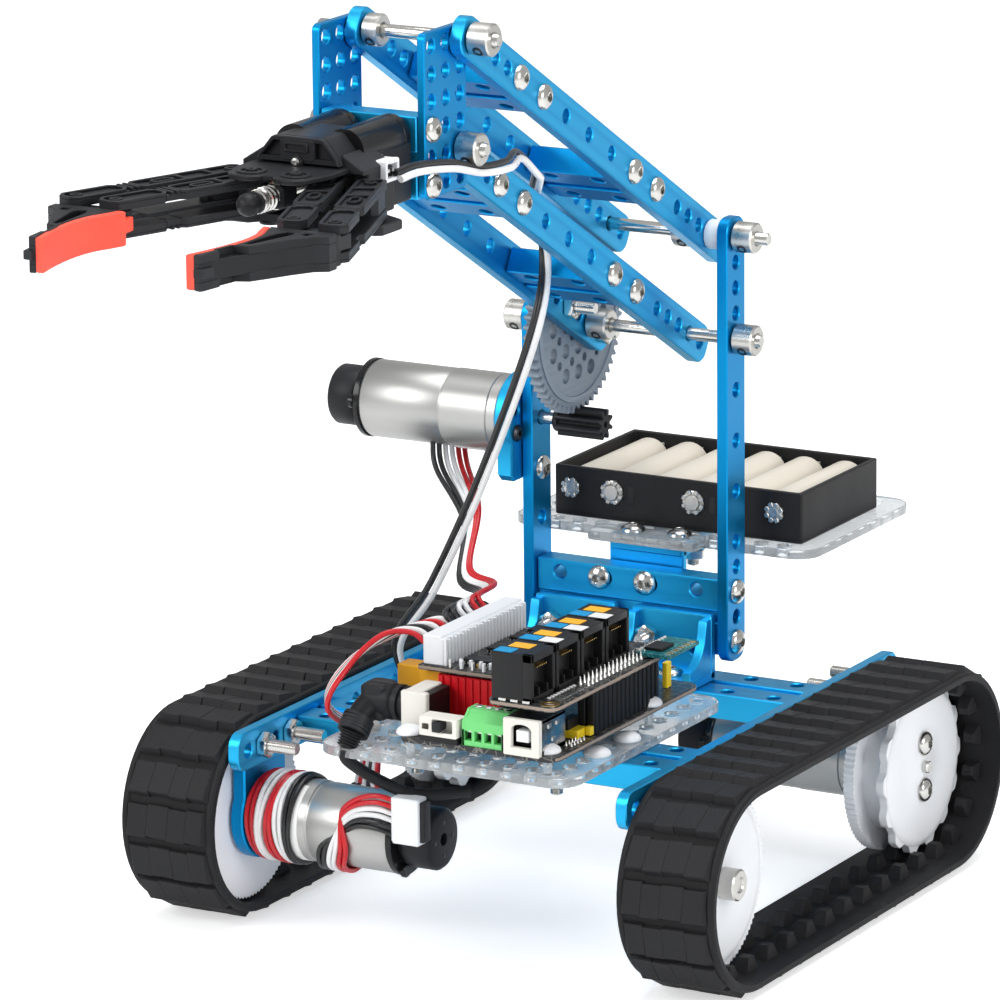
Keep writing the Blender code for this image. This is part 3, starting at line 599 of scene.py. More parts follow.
BLOCKS = 36  # tread blocks round a belt
BELT_NEUTRAL = 30.0  # radius at which the belt keeps its length
BELT_INSIDE = 28.4
BELT_OUTSIDE = 30.3
LUG_IN = 4.2
# across the belt: from, to (None for the outer edge) and skew along it
TREAD_CELLS = ((1.6, 8.8, 0.15), (8.6, 15.1, -0.2), (14.9, 22.5, 0.3), (22.3, None, 0))
# across the belt: from, to and shift along it in pitches
LUG_ROWS = ((9.6, 14.4, 0), (20.2, 25.2, 0.5))


def belt(y_front, y_rear, height):
    """The belt's neutral length, and a function for the point at a distance along it and a radius."""
    run = y_rear - y_front
    bend = math.pi * BELT_NEUTRAL

    def point(s, r):
        s %= 2 * (run + bend)
        if s < run:
            return (y_front + s, height + r)
        if s < run + bend:
            return turned(r, math.pi / 2 - (s - run) / BELT_NEUTRAL, (y_rear, height))
        if s < 2 * run + bend:
            return (y_rear - (s - run - bend), height - r)
        return turned(r, -math.pi / 2 - (s - 2 * run - bend) / BELT_NEUTRAL, (y_front, height))

    return 2 * (run + bend), point


def track(word, side):
    """A moulded belt: carcass with raised lips, stepped tread blocks outside and two rows of lugs inside."""
    node = "track_" + word
    inner = low(node).x if side > 0 else high(node).x
    width = high(node).x - low(node).x
    ground = (high(node).z - low(node).z) / 2
    front = pivot("front_%s_wheel_spin" % word)
    length, point = belt(front.y, pivot("rear_%s_wheel_spin" % word).y, front.z)
    pitch = length / BLOCKS
    piece = Shape("tread_" + word, RUBBER)

    def spot(s, across, r):
        return Vector((inner + side * across, *point(s, r)))

    lip = BELT_OUTSIDE + 0.6
    half = [(0, BELT_INSIDE), (0, BELT_OUTSIDE), (0.6, lip), (2, lip), (2.6, BELT_OUTSIDE)]
    section = half + [(width - a, r) for a, r in reversed(half)]
    part = bmesh.new()
    rows = []
    for i in range(BLOCKS * 4):
        rows.append([part.verts.new(spot(i * pitch / 4, a, r)) for a, r in section])
    for row, after in zip(rows, rows[1:] + rows[:1]):
        for k in range(len(section)):
            j = (k + 1) % len(section)
            part.faces.new((row[k], row[j], after[j], after[k]))
    piece.keep(part, None, None)
    random.seed(7)
    for i in range(BLOCKS):
        for a0, a1, skew in TREAD_CELLS:
            a2 = a0 + (1.3 if a0 < 2 else 0.05)
            a3 = width - 2.9 if a1 is None else a1 - 0.05
            a1 = a1 or width - 1.6
            rise = ground - 0.15 + random.uniform(-0.06, 0.06)
            s0 = i * pitch + 0.3 + skew
            s1 = i * pitch + pitch - 1.7 + skew
            foot = ((s0, a0), (s0 + 0.2, a1), (s1 + 0.2, a1), (s1, a0))
            crown = ((s0 + 1.3, a2, rise), (s0 + 1.5, a3, rise), (s1 - 0.2, a3, rise - 1.3),
                     (s1 - 0.4, a2, rise - 1.3))
            piece.hexahedron([spot(s, a, 30) for s, a in foot] + [spot(*corner) for corner in crown])
    for i in range(BLOCKS):
        for a0, a1, shift in LUG_ROWS:
            s0 = (i + shift) * pitch + 2.6
            s1 = s0 + 7.4
            corners = []
            for r, taper, narrow in ((BELT_INSIDE + 0.5, 0, 0), (BELT_INSIDE - LUG_IN, 2, 0.8)):
                for s, a in ((s0 + taper, a0 + narrow), (s0 + taper, a1 - narrow),
                             (s1 - taper, a1 - narrow), (s1 - taper, a0 + narrow)):
                    corners.append(spot(s, a, r))
            piece.hexahedron(corners)
    piece.place("root", node, soft=0.25)


def pulley(name, node, centre, side, driven):
    """A moulded wheel: a fine toothed rim, a lobed rim, and the hub and axle end between and outside them."""
    lowest, highest = low(node), high(node)
    inner, outer = sorted((abs(lowest.x), abs(highest.x)))
    out = side * X
    piece = Shape(name, WHITE)
    place = at((0, centre.y, centre.z), out, Y)
    face = outer - 2
    back = face - 14.5
    radius = (highest.z - lowest.z) / 2
    fine = []
    for i in range(180):
        fine.append(turned(radius - (0 if i % 2 else 0.75), 2 * math.pi * i / 180))
    lobed = []
    for i in range(168):
        angle = 2 * math.pi * i / 168
        lobed.append(turned(radius - 1.3 + 1.3 * max(-0.75, min(0.8, 1.4 * math.cos(14 * angle))), angle))
    near, far = (lobed, fine) if driven else (fine, lobed)
    piece.plate(near, face - 3.2, face - 0.6, place=place, edge=0.1)
    piece.plate(far, back, back + 3.6, place=place, edge=0.1)
    piece.lathe([(0, face - 0.8), (25.2, face - 0.8), (25.2, face - 0.5), (24.6, face - 0.1), (23, face),
                 (14, face - 0.25), (6.2, face - 0.25), (5.8, face), (0, face)], place=place, segments=64)
    piece.lathe([(0, back + 0.5), (21.5, back + 0.5), (21, back + 6), (21, face - 6), (21.5, face - 2),
                 (0, face - 2)], place=place, segments=48)
    for height in ((-7.5, 7.5) if driven else ()):
        piece.screw((side * face, centre.y, centre.z + height), out)
    axle = [(0, inner - 4), (ROD_R, inner - 4), (ROD_R, outer - 0.3), (ROD_R - 0.3, outer), (0, outer)]
    piece.lathe(axle, STEEL, place, 20)
    if not driven:
        piece.collar((side * face, centre.y, centre.z), out, Vector((0, 0.3, -1)), 6.0)
    piece.place(name, node)


def undercarriage():
    """Wheel brackets, motors, belts and pulleys on both sides."""
    for side, word in SIDES:
        front = pivot("front_%s_wheel_spin" % word)
        rear = pivot("rear_%s_wheel_spin" % word)
        motor_axle, idler_axle = (front, rear) if side < 0 else (rear, front)
        wheel_bracket(word + "_motor_flange", "motor_bracket_" + word, motor_axle, 8)
        wheel_bracket(word + "_idler_flange", "idler_bracket_" + word, idler_axle, 4)
        node = "drive_motor_" + word
        rail_face = low(node).x if side < 0 else high(node).x
        motor(word + "_track_motor", node, Vector((rail_face, motor_axle.y, motor_axle.z)), -side * X, 20)
        track(word, side)
        for end, centre in (("front", front), ("rear", rear)):
            name, node = "%s_%s_wheel" % (end, word), "%s_pulley_%s" % (end, word)
            pulley(name, node, centre, side, centre is motor_axle)


# ---------------------------------------------------------------- tower


def tower():
    """Both uprights, the beam between them and its two gusseted feet."""
    beam_node = "tower_beam"
    beam_z = middle(beam_node).z
    for (side, word), top in zip(SIDES, (pivot("arm_lift"), pivot("upper_arm_lift"))):
        node = "upright_" + word
        lowest, highest, y = low(node), high(node), middle(node).y
        place = at((lowest.x, y, top.z), X, Z)
        length = top.z - lowest.z
        stations = every(0, 32, PITCH) + every(48, 96, 2 * PITCH) + every(104, 136, PITCH)
        upright = Shape(word + "_tower_upright", BLUE)
        holes = [circle(HOLE_R, (-s, 0)) for s in stations if s < length - 4]
        outline = bar_outline(lowest.z - top.z, highest.z - top.z)
        upright.plate(outline, 0, highest.x - lowest.x, holes, place=place)
        for z in (beam_z - PITCH, beam_z + PITCH):
            upright.screw((highest.x if side > 0 else lowest.x, y, z), side * X)
        if side < 0:
            upright.screw((highest.x, y, pivot("pinion_spin").z - 2 * PITCH), X)
        upright.place("root", node)
    piece = Shape("drilled_tower_beam", BLUE)
    half = (high(beam_node).x - low(beam_node).x) / 2
    beam(piece, at(middle(beam_node), -Y, X), half, every(-24, 24, 2 * PITCH))
    for x in (-PITCH, PITCH):
        piece.screw((x, low(beam_node).y, beam_z + PITCH), -Y)
    piece.place("root", beam_node)
    for _, word in SIDES:
        foot(word)


def foot(word):
    """An angle with a gusset at each end, bolted to the tower beam and to the rear cross beam."""
    node = "foot_bracket_" + word
    lowest, highest = low(node), high(node)
    wall = 3.0
    piece = Shape(word + "_foot", BLUE)
    width, depth, height = highest - lowest
    front = highest.y - wall
    upright = at((lowest.x, front, lowest.z), -Y, X)
    holes = [circle(HOLE_R, (a, 10)) for a in (6, 22)]
    piece.plate(rounded(0, width, 0, height, 1, 3), -wall, 0, holes, place=upright)
    piece.plate(rounded(0, width, 0, depth, 1, 3), 0, wall, place=at(lowest, Z, X))
    reach = depth - wall
    rise = height - wall - 1
    gusset = [(0, 0), (-reach, 0), (-reach, 3)]
    for i in range(9):
        angle = math.radians(10 * i)
        gusset.append(((reach - 3.5) * math.sin(angle) - reach, 3 + (rise - 3) * (1 - math.cos(angle))))
    gusset += [(-3, rise), (0, rise)]
    for x in (lowest.x, highest.x - wall):
        piece.plate(gusset, 0, wall, place=at((x, front, lowest.z + wall - 0.2), X, Y), edge=0.3)
    piece.nut((lowest.x + 6, front, lowest.z + 12), -Y, 5.5)
    for a in (10, 18):
        piece.screw((lowest.x + a, lowest.y + 6.5, lowest.z + wall), Z)
    piece.place("root", node)


def pivot_rods():
    """Both rear rods with their collars, and the nylon spacer beside the tall upright."""
    post = high("upright_right").x + CLEARANCE
    upper_start = low("upper_bar_right").x
    rods = (("lower", "arm_lift", ((post, X), (low("upright_left").x - CLEARANCE, -X),
                                   (high("lower_bar_left").x + CLEARANCE, X))),
            ("upper", "upper_arm_lift", ((post, X), (upper_start - 7 - CLEARANCE, X))))
    for word, joint, collars in rods:
        node = word + "_pivot_rod"
        axis = pivot(joint)
        piece = Shape(word + "_rear_rod", STEEL)
        piece.rod((low(node).x, axis.y, axis.z), (high(node).x, axis.y, axis.z))
        for x, out in collars:
            piece.collar((x, axis.y, axis.z), out)
        piece.place("root", node)
    spacer = Shape("rod_spacer", WHITE)
    start = high("upper_bar_right").x + 0.2
    length = low("upright_right").x - 0.2 - start
    bore = ROD_R + 0.1
    spacer.lathe([(bore, 0), (4.3, 0), (4.6, 0.4), (4.6, length - 0.4), (4.3, length), (bore, length)],
                 place=at((start, axis.y, axis.z), X), segments=32)
    spacer.place("root")


# ---------------------------------------------------------------- arm


def arm_direction():
    """From the lower rear pivot to the lower front pivot, in the arm's plane."""
    along = pivot("gripper_level") - pivot("arm_lift")
    along.x = 0
    return along


def arm():
    """Both pairs of arm bars with their cross beams and screws."""
    along = arm_direction()
    length = along.length
    normal = X.cross(along).normalized()
    from_front = every(0, 24, PITCH) + every(32, 128, 2 * PITCH) + every(144, 176, PITCH)
    for word, joint, body in (("lower", "arm_lift", "lower_arm"), ("upper", "upper_arm_lift", "upper_arm")):
        base = pivot(joint)
        for side, out in (("right", X), ("left", -X)):
            node = "%s_bar_%s" % (word, side)
            piece = Shape("%s_%s_arm_bar" % (side, word), BLUE)
            place = at((low(node).x, base.y, base.z), X, along)
            thick = high(node).x - low(node).x
            holes = [circle(HOLE_R, (length - s, 0)) for s in from_front]
            piece.plate(bar_outline(-14, length + BAR_HALF), 0, thick, holes, place=place)
            for s in (32, 48, 112, 128):
                piece.screw(place @ Vector((length - s, 0, thick if side == "right" else 0)), out)
            piece.place(body, node)
        for end, distance in (("rear", 48), ("front", 128)):
            node = "%s_cross_beam_%s" % (word, end)
            centre = base + along.normalized() * distance
            centre.x = middle(node).x
            piece = Shape("%s_%s_arm_beam" % (end, word), BLUE)
            beam(piece, at(centre, normal, X), (high(node).x - low(node).x) / 2, (-PITCH, PITCH))
            piece.place(body, node)


# one flank of a tooth: rise from the pitch circle, and share of a pitch
TOOTH = ((-1.2, -0.38), (-0.2, -0.25), (0.7, -0.13), (0.92, -0.06))


def gear_outline(teeth, start):
    """A spur gear of module 1 with rounded tooth tips."""
    step = 2 * math.pi / teeth
    profile = TOOTH + tuple((rise, -share) for rise, share in reversed(TOOTH))
    points = []
    for i in range(teeth):
        points += [turned(teeth / 2 + rise, start + (i + share) * step) for rise, share in profile]
    return points


def arm_drive():
    """The perforated gear on the left arm bar, its pinion, and the motor with its bracket."""
    node = "arm_gear"
    centre = pivot("arm_lift")
    thick = high(node).x - low(node).x
    place = at((low(node).x, centre.y, centre.z), X, Y)
    piece = Shape("perforated_gear", GREY)
    holes = [circle(HOLE_R)]
    for i in range(-3, 4):
        for j in range(-3, 4):
            for shift, radius, segments, limit in ((0, 2.35, 18, 21), (0.5, 1.35, 12, 20)):
                a, b = (i + shift) * PITCH, (j + shift) * PITCH
                if 0 < math.hypot(a, b) < limit:
                    holes.append(circle(radius, (a, b), segments))
    piece.plate(gear_outline(56, -math.pi / 2), 0, thick, place=place, holes=holes, edge=0.12)
    for base in (-0.5, thick - 0.1):
        for band in ((23.6, 25.4, 0, 359.9, 72), (2.3, 3.6, 0, 359.9, 30)):
            piece.plate(arc_band(*band), base, base + 0.6, place=place, edge=0.1)
    for distance, bolt in ((16, 9), (-8, 5)):
        spot = centre + arm_direction().normalized() * distance
        piece.nut((high("lower_bar_left").x, spot.y, spot.z), X, bolt)
    piece.place("lower_arm", node)

    node = "arm_pinion"
    centre = pivot("pinion_spin")
    piece = Shape("small_pinion", BLACK)
    start = high(node).x - 17.5
    place = at((start, centre.y, centre.z), X, Y)
    piece.plate(gear_outline(8, math.pi / 2 + math.pi / 8), 0, 16, [circle(1)], place=place, edge=0.15)
    piece.lathe([(1.8, -1.2), (3.6, -1.2), (3.8, -0.9), (3.8, 0.4), (1.8, 0.4)], place=place)
    shaft = [(0, low(node).x - start), (ROD_R, low(node).x - start), (ROD_R, 14), (0, 14)]
    piece.lathe(shaft, STEEL, place, 16)
    piece.place("pinion", node)

    node = "arm_motor_bracket"
    piece = Shape("arm_motor_flange", BLUE)
    drilled_flange(piece, node, centre, low(node).z, 8)
    for i in (0, 4):
        a, b = turned(BOLT_CIRCLE, 2 * math.pi * (i + 0.5) / 8)
        head = [(0, -1), (1.3, -1), (1.3, -0.2), (2.6, -0.1), (2.7, 0.5), (2, 1.2), (0.9, 1.3, True),
                (0.8, 0.4, True), (0, 0.3)]
        piece.lathe(head, DARK_STEEL, at((high(node).x, centre.y + a, centre.z + b), X))
    piece.place("root", node)
    motor("arm_gearmotor", "arm_motor", Vector((high("arm_motor").x, centre.y, centre.z)), -X, 60)


# ---------------------------------------------------------------- gripper


def gripper_bracket():
    """Punched side plates, the beam between them, and the two front rods with their collars."""
    lower = pivot("gripper_level")
    rise = pivot("upper_arm_lift").z - pivot("arm_lift").z
    for side, out in (("right", X), ("left", -X)):
        node = "bracket_plate_" + side
        lowest, highest = low(node), high(node)
        thick = highest.x - lowest.x
        piece = Shape(side + "_punched_plate", BLUE)
        place = at((lowest.x, lower.y, lower.z), X, Y)
        holes = [circle(HOLE_R, (a, b)) for a in every(-16, 0, PITCH) for b in every(-PITCH, rise, PITCH)]
        outline = rounded(lowest.y - lower.y, highest.y - lower.y, lowest.z - lower.z, highest.z - lower.z, 2)
        piece.plate(outline, 0, thick, holes, place=place)
        for b in (-PITCH, PITCH):
            piece.screw(place @ Vector((-16, b, thick if side == "right" else 0)), out)
        piece.place("gripper_base", node)
    node = "bracket_cross_beam"
    piece = Shape("drilled_bracket_beam", BLUE)
    beam(piece, at(middle(node), -Y, X), (high(node).x - low(node).x) / 2, (-PITCH, PITCH))
    piece.place("gripper_base", node)
    piece = Shape("front_pivot_rods", STEEL)
    left = low("bracket_plate_left").x
    plate_face = high("bracket_plate_right").x
    bar_face = high("upper_bar_right").x
    upper_z = lower.z + rise
    piece.rod((left - 4.5, lower.y, lower.z), (plate_face + 9, lower.y, lower.z))
    piece.rod((left - 9, lower.y, upper_z), (bar_face + 9, lower.y, upper_z))
    for x, z, length in ((plate_face, lower.z, 7.0), (bar_face, upper_z, 7.0),
                         (high("upper_bar_left").x, upper_z, 5.0), (high("lower_bar_left").x, lower.z, 5.0)):
        piece.collar((x + CLEARANCE, lower.y, z), X, length=length)
    piece.place("gripper_base")


def gripper_housing():
    """Base and roof plates, gear block, hood with its recessed face, motor barrels and a white socket."""
    node = "gripper_housing"
    lowest, highest = low(node), high(node)
    mid = middle(node).x
    axle = pivot("grip_open").y
    back = highest.y - axle
    floor, hood_top = lowest.z, highest.z
    block_top = hood_top - 6.8
    piece = Shape("gripper_body", BLACK)
    flat = at((mid, axle, 0), Z, X)
    face = at((mid, axle, 0), -Y, X)
    base = mirrored([(16, 13.5), (29, 6.5), (29, -4), (27, -5.5), (14, -5.5), (12, -3)])
    bores = [(side * reach, 0) for side in (-1, 1) for reach in (9.7, 22.7)]
    piece.plate(base, floor, floor + 3, [circle(1.5, bore) for bore in bores], place=flat, edge=0.4)
    for bore in bores:
        outline, hole = ring(1.6, 3.4, bore)
        piece.plate(outline, floor - 0.6, floor + 0.4, hole, place=flat, edge=0.2)
    piece.plate(rounded(-15, 15, 10.5, back - 0.4, 2), floor + 1.7, block_top, place=flat, edge=0.6)
    piece.plate(rounded(-12.5, 12.5, 9.2, 12, 1), floor + 3, block_top - 3, place=flat, edge=0.4)
    for x in (-11, 11):
        piece.plate(rounded(x - 2, x + 2, 8.6, 20, 0.8), floor + 2.4, block_top - 2, place=flat)
    lobe = (7.2, -14.2)
    roof = mirrored([(14, 13.5), (15.2, 4), (15.2, -9)] + arc(6.6, -30, -135, 12, lobe) + [(1.6, -17.4)])
    piece.plate(roof, block_top - 2.8, block_top - 1.2, place=flat)
    for side in (-1, 1):
        for inner, outer, rise in ((3, 4.4, 0.5), (0.7, 1.7, 0.9)):
            outline, hole = ring(inner, outer, (side * lobe[0], lobe[1]))
            piece.plate(outline, block_top - 1.5, block_top - 1.2 + rise, hole, place=flat, edge=0.15)
    hood = mirrored([(13.4, block_top - 0.6), (12.6, block_top + 1.4), (8.6, hood_top - 0.5),
                     (7.6, hood_top)])
    piece.plate(hood, -20, -0.2, place=face, edge=0.7)
    recess = mirrored([(11.4, block_top + 1), (7.6, hood_top - 1.5)])
    piece.plate(hood, -0.6, 1.5, [recess], place=face, edge=0.3)
    piece.plate(rounded(-5.6, 5.6, block_top, hood_top - 0.4, 0.8), -0.4, 1.7, place=face, edge=0.4)
    window = rounded(-3.3, 2.9, hood_top - 3.5, hood_top - 2.1, 0.3)
    frame_line = rounded(-4.2, 3.8, hood_top - 4.2, hood_top - 1.4, 0.5)
    piece.plate(frame_line, 1.4, 2.2, [window], place=face, edge=0.15)
    spot = at((mid, axle, block_top - 0.1), -Y)
    piece.lathe([(0, 0), (1.9, 0), (1.9, 2.2), (1.6, 2.5), (0, 2.5)], place=spot, segments=20)
    screw = [(0, 2), (1.3, 2), (1.3, 2.7), (1, 3), (0.6, 3.05, True), (0.5, 2.6, True), (0, 2.5)]
    piece.lathe(screw, STEEL, spot, 18)
    for side in (-1, 1):
        slope = [(12, -0.6), (13.2, 2.4), (19.6, -1.6), (19.6, -3), (14, -3)]
        piece.plate([(side * a, block_top + b) for a, b in slope], -17, -1.2, place=face, edge=0.4)
        piece.plate(rounded(side * 17.2 - 2.4, side * 17.2 + 2.4, 4, 19, 1), floor + 2.6, block_top - 2.6,
                    place=flat, edge=0.4)
        barrel = back - 11
        way = at((mid + side * 8.2, axle + back - 0.4, hood_top - 5.4), -Y, Z)
        piece.lathe([(0, 0), (5.6, 0), (6.4, 0.8), (6.4, 3), (6.1, 3.3), (6.1, 3.8), (6.4, 4.1),
                     (6.4, barrel), (0, barrel)], GLOSS_BLACK, way, 36)
    spot = at((mid, axle, block_top), X, Y)
    mouth = rounded(12, 17.4, -5.7, -1.5, 0.4)
    piece.plate(rounded(10.6, 18.8, -7, -0.2, 0.6), 14.6, 16.2, place=spot, material=WHITE)
    piece.plate(rounded(11, 18.4, -6.7, -0.5, 0.6), 16, 21.5, [mouth], place=spot, material=WHITE, edge=0.25)
    for a in (13.4, 16):
        for half, b0, b1, x0, x1, tint in ((0.5, -4.1, -3.1, 15.5, 21, SOLDER),
                                           (1.1, -1.4, -0.2, 20.6, 22, WHITE)):
            piece.plate(rounded(a - half, a + half, b0, b1, 0.1), x0, x1, (), tint, spot, 0.1)
    piece.place("gripper_base", node)


def gripper_drive():
    """Lead screw with thread, spring, washer and round cap, and the nut that rides on it."""
    node = "gripper_screw"
    start = pivot("screw_spin")
    length = start.y - low(node).y
    way = at(start, -Y, Z)
    piece = Shape("lead_screw", STEEL)
    rings = [(0, 0.2), (1.5, 0.2)]
    level = 0.6
    while level < length - 9:
        rings += [(1.25, level), (1.6, level + 0.3)]
        level += 0.6
    rings += [(1.3, length - 6), (0, length - 6)]
    piece.lathe(rings, place=way, segments=20)
    washer = [(1.4, 23.6), (4, 23.6), (4.1, 23.8), (4.1, 24.4), (3.9, 24.6), (1.4, 24.6)]
    piece.lathe(washer, place=way, segments=40)
    spring = [way @ Vector((*turned(3.1, 2 * math.pi * i / 18), 25.2 + 9.4 * i / 90)) for i in range(91)]
    piece.tube(spring, 0.5, segments=6)
    cap = [(0, -8.2), (3, -8.2), (3.2, -7.9), (3.2, -6.2), (2.7, -5.8)] + arc(3.3, -34, 90, 8, (0, -3.3))
    piece.lathe([(radius, length + height) for radius, height in cap], BLACK, way, 36)
    piece.place("screw", node)
    node = "gripper_nut"
    lowest, highest = low(node), high(node)
    depth = highest.y - lowest.y
    piece = Shape("travelling_nut", BLACK)
    face = at((middle(node).x, highest.y, start.z), -Y, X)
    outline = rounded(-4.2, 4.2, lowest.z - start.z, highest.z - start.z, 1.2)
    piece.plate(outline, 0, depth, [circle(2)], place=face, edge=0.4)
    outline, hole = ring(2, 3.2)
    piece.plate(outline, depth - 0.4, depth + 0.8, hole, place=face, edge=0.2)
    piece.place("nut", node)


def octagon(a0, a1, half, cut):
    """A bar outline along local X with cut corners."""
    return [(a0, cut - half), (a0 + cut, -half), (a1 - cut, -half), (a1, cut - half), (a1, half - cut),
            (a1 - cut, half), (a0 + cut, half), (a0, half - cut)]


LINK_HALF = 4.2
LINK_THICK = 2.8
LINK_RIM = 0.9


def link_bar(name, node, body, start, end):
    """A moulded link: two ribbed plates joined at the rear pivot, with ring bosses and cut-corner heads."""
    run = Vector((end.x - start.x, end.y - start.y, 0))
    length = run.length
    bottom, top = low(node).z, high(node).z
    place = at((start.x, start.y, 0), Z, run)
    piece = Shape(name, BLACK)
    half = LINK_HALF
    shaft = octagon(-half, 34.6, half, 1.6)
    head = octagon(38.4, length + half, half, 2.1)
    cells = [octagon(a0, a1, half - 1.1, 0.7) for a0, a1 in ((1.1 - half, 7.2), (8.6, 17.4), (18.8, 33.5))]
    pocket = octagon(39.5, length + half - 1.1, half - 1.1, 1.5)
    for base, rim, lift in ((bottom, bottom, 0.8), (top - LINK_THICK, top - LINK_RIM, 0)):
        web = (base + lift, base + LINK_THICK - 0.8 + lift)
        for outline in (shaft, head, octagon(33.6, 39.4, 2.9, 0.4)):
            piece.plate(outline, *web, place=place, edge=0.2)
        raised = [(shaft, cells), (head, [pocket])]
        raised += [(rounded(a - 0.5, a + 0.5, -3.6, 3.6, 0.2), ()) for a in (35.4, 37.4)]
        for centre, stretch in ((0, 0), (24.5, 2), (length, 0)):
            raised.append((slot_hole(centre, 1.9 + stretch, 1.9), [slot_hole(centre, 1 + stretch, 1)]))
        for outline, holes in raised:
            piece.plate(outline, rim, rim + LINK_RIM, holes, place=place, edge=0.15)
    joint_block = octagon(-half, 10, half - 0.5, 1.8)
    piece.plate(joint_block, bottom + LINK_THICK - 0.3, top - LINK_THICK + 0.3, place=place)
    for s, radius, inset, tint in ((0, 1.9, 0.5, None), (length, 0.9, 0.4, STEEL)):
        pin = [(0, bottom + inset), (radius, bottom + inset), (radius, top - inset), (0, top - inset)]
        piece.lathe(pin, tint, at(place @ Vector((s, 0, 0)), Z), 18)
    piece.place(body, node)


def finger(word, side, inner_end, outer_end, body):
    """A jaw: flanged and notched body with a long pocket, a hinge tab, and its silicone pad."""
    node = "finger_" + word
    mid = middle("gripper_housing").x
    inner = abs(inner_end.x - mid)
    outer = abs(outer_end.x - mid)
    tip = low(node).y - outer_end.y
    level = pivot("grip_open").z
    bottom, top = level - 1.2, level + 8.8
    place = at((mid, outer_end.y, 0), Z, X)
    piece = Shape(word + "_jaw", BLACK)

    def across(points):
        return [(side * a, b) for a, b in points]

    def from_tip(points):
        return [(a, tip + b) for a, b in points]

    root = inner - 6.5
    seat = 2.5  # thickness of the pad
    curve = [(22.6, 0.4), (24.4, 8), (25.7, 16), (26.2, 24), (25.4, 31), (23.6, 36), (root, -5.4 - tip)]
    bow = from_tip([(p.x, p.y) for p in spline([Vector((a, b, 0)) for a, b in curve], 4)])
    seat_line = [(a + seat, b) for a, b in reversed(bow)] + from_tip([(26.9, 0), (27.6, 1)])
    shoulder = [(outer + 3.5, -9), (outer + 3.5, -5.2)]
    plain = seat_line + from_tip([(28.8, 10), (32.6, 18), (36.6, 27), (40.6, 34)]) + shoulder
    notched = seat_line + from_tip([(28.4, 8), (26.4, 9), (27.4, 15), (32.2, 17), (35.2, 23), (38, 29),
                                    (41.4, 35)]) + shoulder
    pocket = across(from_tip([(30, 18.4), (29.6, 20.5), (30.6, 34), (32, 37), (34.6, 36.6), (35.2, 34.4),
                              (31.6, 19.2)]))
    notch = across([(40.4, -8.6), (39.4, -11.6), (37.4, -11), (37.6, -8.6)])
    wall = from_tip([(30.4, 20), (30.2, 22), (31.4, 33), (32.8, 35.4), (34, 34)])
    nose = from_tip([(25.4, 1), (25.7, -0.9), (28.4, -0.6), (29.2, 4), (28, 5)])
    tab = [(inner - 3.4, 2.9), (outer + 3.3, 2.9), (outer + 3.3, -7), (inner - 3.4, -7)]
    bores = [circle(1.1, (side * reach, 0), 16) for reach in (inner, outer)]
    lug = rounded(outer - 3.4, outer + 3.4, -5.6, -2.2, 0.8)
    for outline, z0, z1, holes, edge in (
            (notched, top - 2.6, top, [pocket, notch], 0.25), (notched, bottom, bottom + 2.6, [pocket], 0.25),
            (plain, bottom + 2.4, top - 2.4, [pocket], 0.2), (wall, bottom + 1, bottom + 3.5, (), 0.1),
            (nose, bottom + 3.7, top - 3.7, (), 0.2), (tab, level + 3.1, level + 7.5, bores, 0.3),
            (lug, bottom + 0.6, top - 0.6, (), 0.3)):
        piece.plate(across(outline), z0, z1, holes, place=place, edge=edge)
    piece.place(body, node)

    pad = Shape(word + "_jaw_pad", PAD_RED)
    back_line = [(a + seat - 0.1, b) for a, b in reversed(bow)]
    pad.plate(across(bow + back_line), bottom + 0.1, top - 0.1, place=place)
    step = [(root + 0.6, -6.4), (root + 1.4, 0.6), (inner - 3.5, 0.6), (inner - 3.5, -6.4)]
    pad.plate(across(step), bottom + 3.2, top - 2.8, place=place, edge=0.2)
    for a, b in bow[4:-4:5]:
        pad.plate(across(rounded(a + 1.6, a + 3.4, b - 1.2, b + 1.2, 0.4)), bottom + 4, top - 4, place=place)
    pad.place(body)


def gripper():
    """Everything in front of the arm."""
    gripper_bracket()
    gripper_housing()
    gripper_drive()
    for side, word in SIDES:
        outer_start = pivot("grip_open" if side > 0 else "outer_left_swing")
        inner_start = pivot("inner_%s_swing" % word)
        outer_end = pivot(word + "_jaw_level")
        inner_end = inner_start + outer_end - outer_start
        for kind, start, end in (("inner", inner_start, inner_end), ("outer", outer_start, outer_end)):
            name, node = "%s_%s_link" % (word, kind), "%s_link_%s" % (kind, word)
            link_bar(name, node, "%s_link_%s" % (kind, word[0]), start, end)
        finger(word, side, inner_end, outer_end, "jaw_" + word)


# ---------------------------------------------------------------- electronics

BOARD_THICK = 1.6
HEADER_PITCH = 2.54


def dome(shape, point, radius=4.2):
    """A nylon dome-headed screw."""
    rings = [(0, -1), (1.5, -1), (1.5, 0), (radius - 0.3, 0), (radius, 0.4)]
    rings += [(radius * reach, 0.4 + 2.3 * rise) for reach, rise in arc(1, 15, 75, 4)]
    shape.lathe(rings + [(0, 2.7)], WHITE, at(point, Z), 28)


def chip(shape, corner, size, legs):
    """A small packaged circuit with bent legs on its two long sides (along X)."""
    corner = Vector(corner)
    shape.block(corner + Vector((0, 0, 0.2)), corner + Vector(size), CHIP, radius=0.2, edge=0.15)
    for i in range(legs):
        x = corner.x + size[0] * (i + 0.5) / legs
        for y, way in ((corner.y, -1), (corner.y + size[1], 1)):
            base = Vector((x - 0.2, y - 0.1 * way, corner.z))
            for reach, rise in ((1.1, 0.3), (0.4, size[2] * 0.55)):
                shape.block(base, base + Vector((0.4, way * reach, rise)), SOLDER, radius=0.1, edge=0.05)


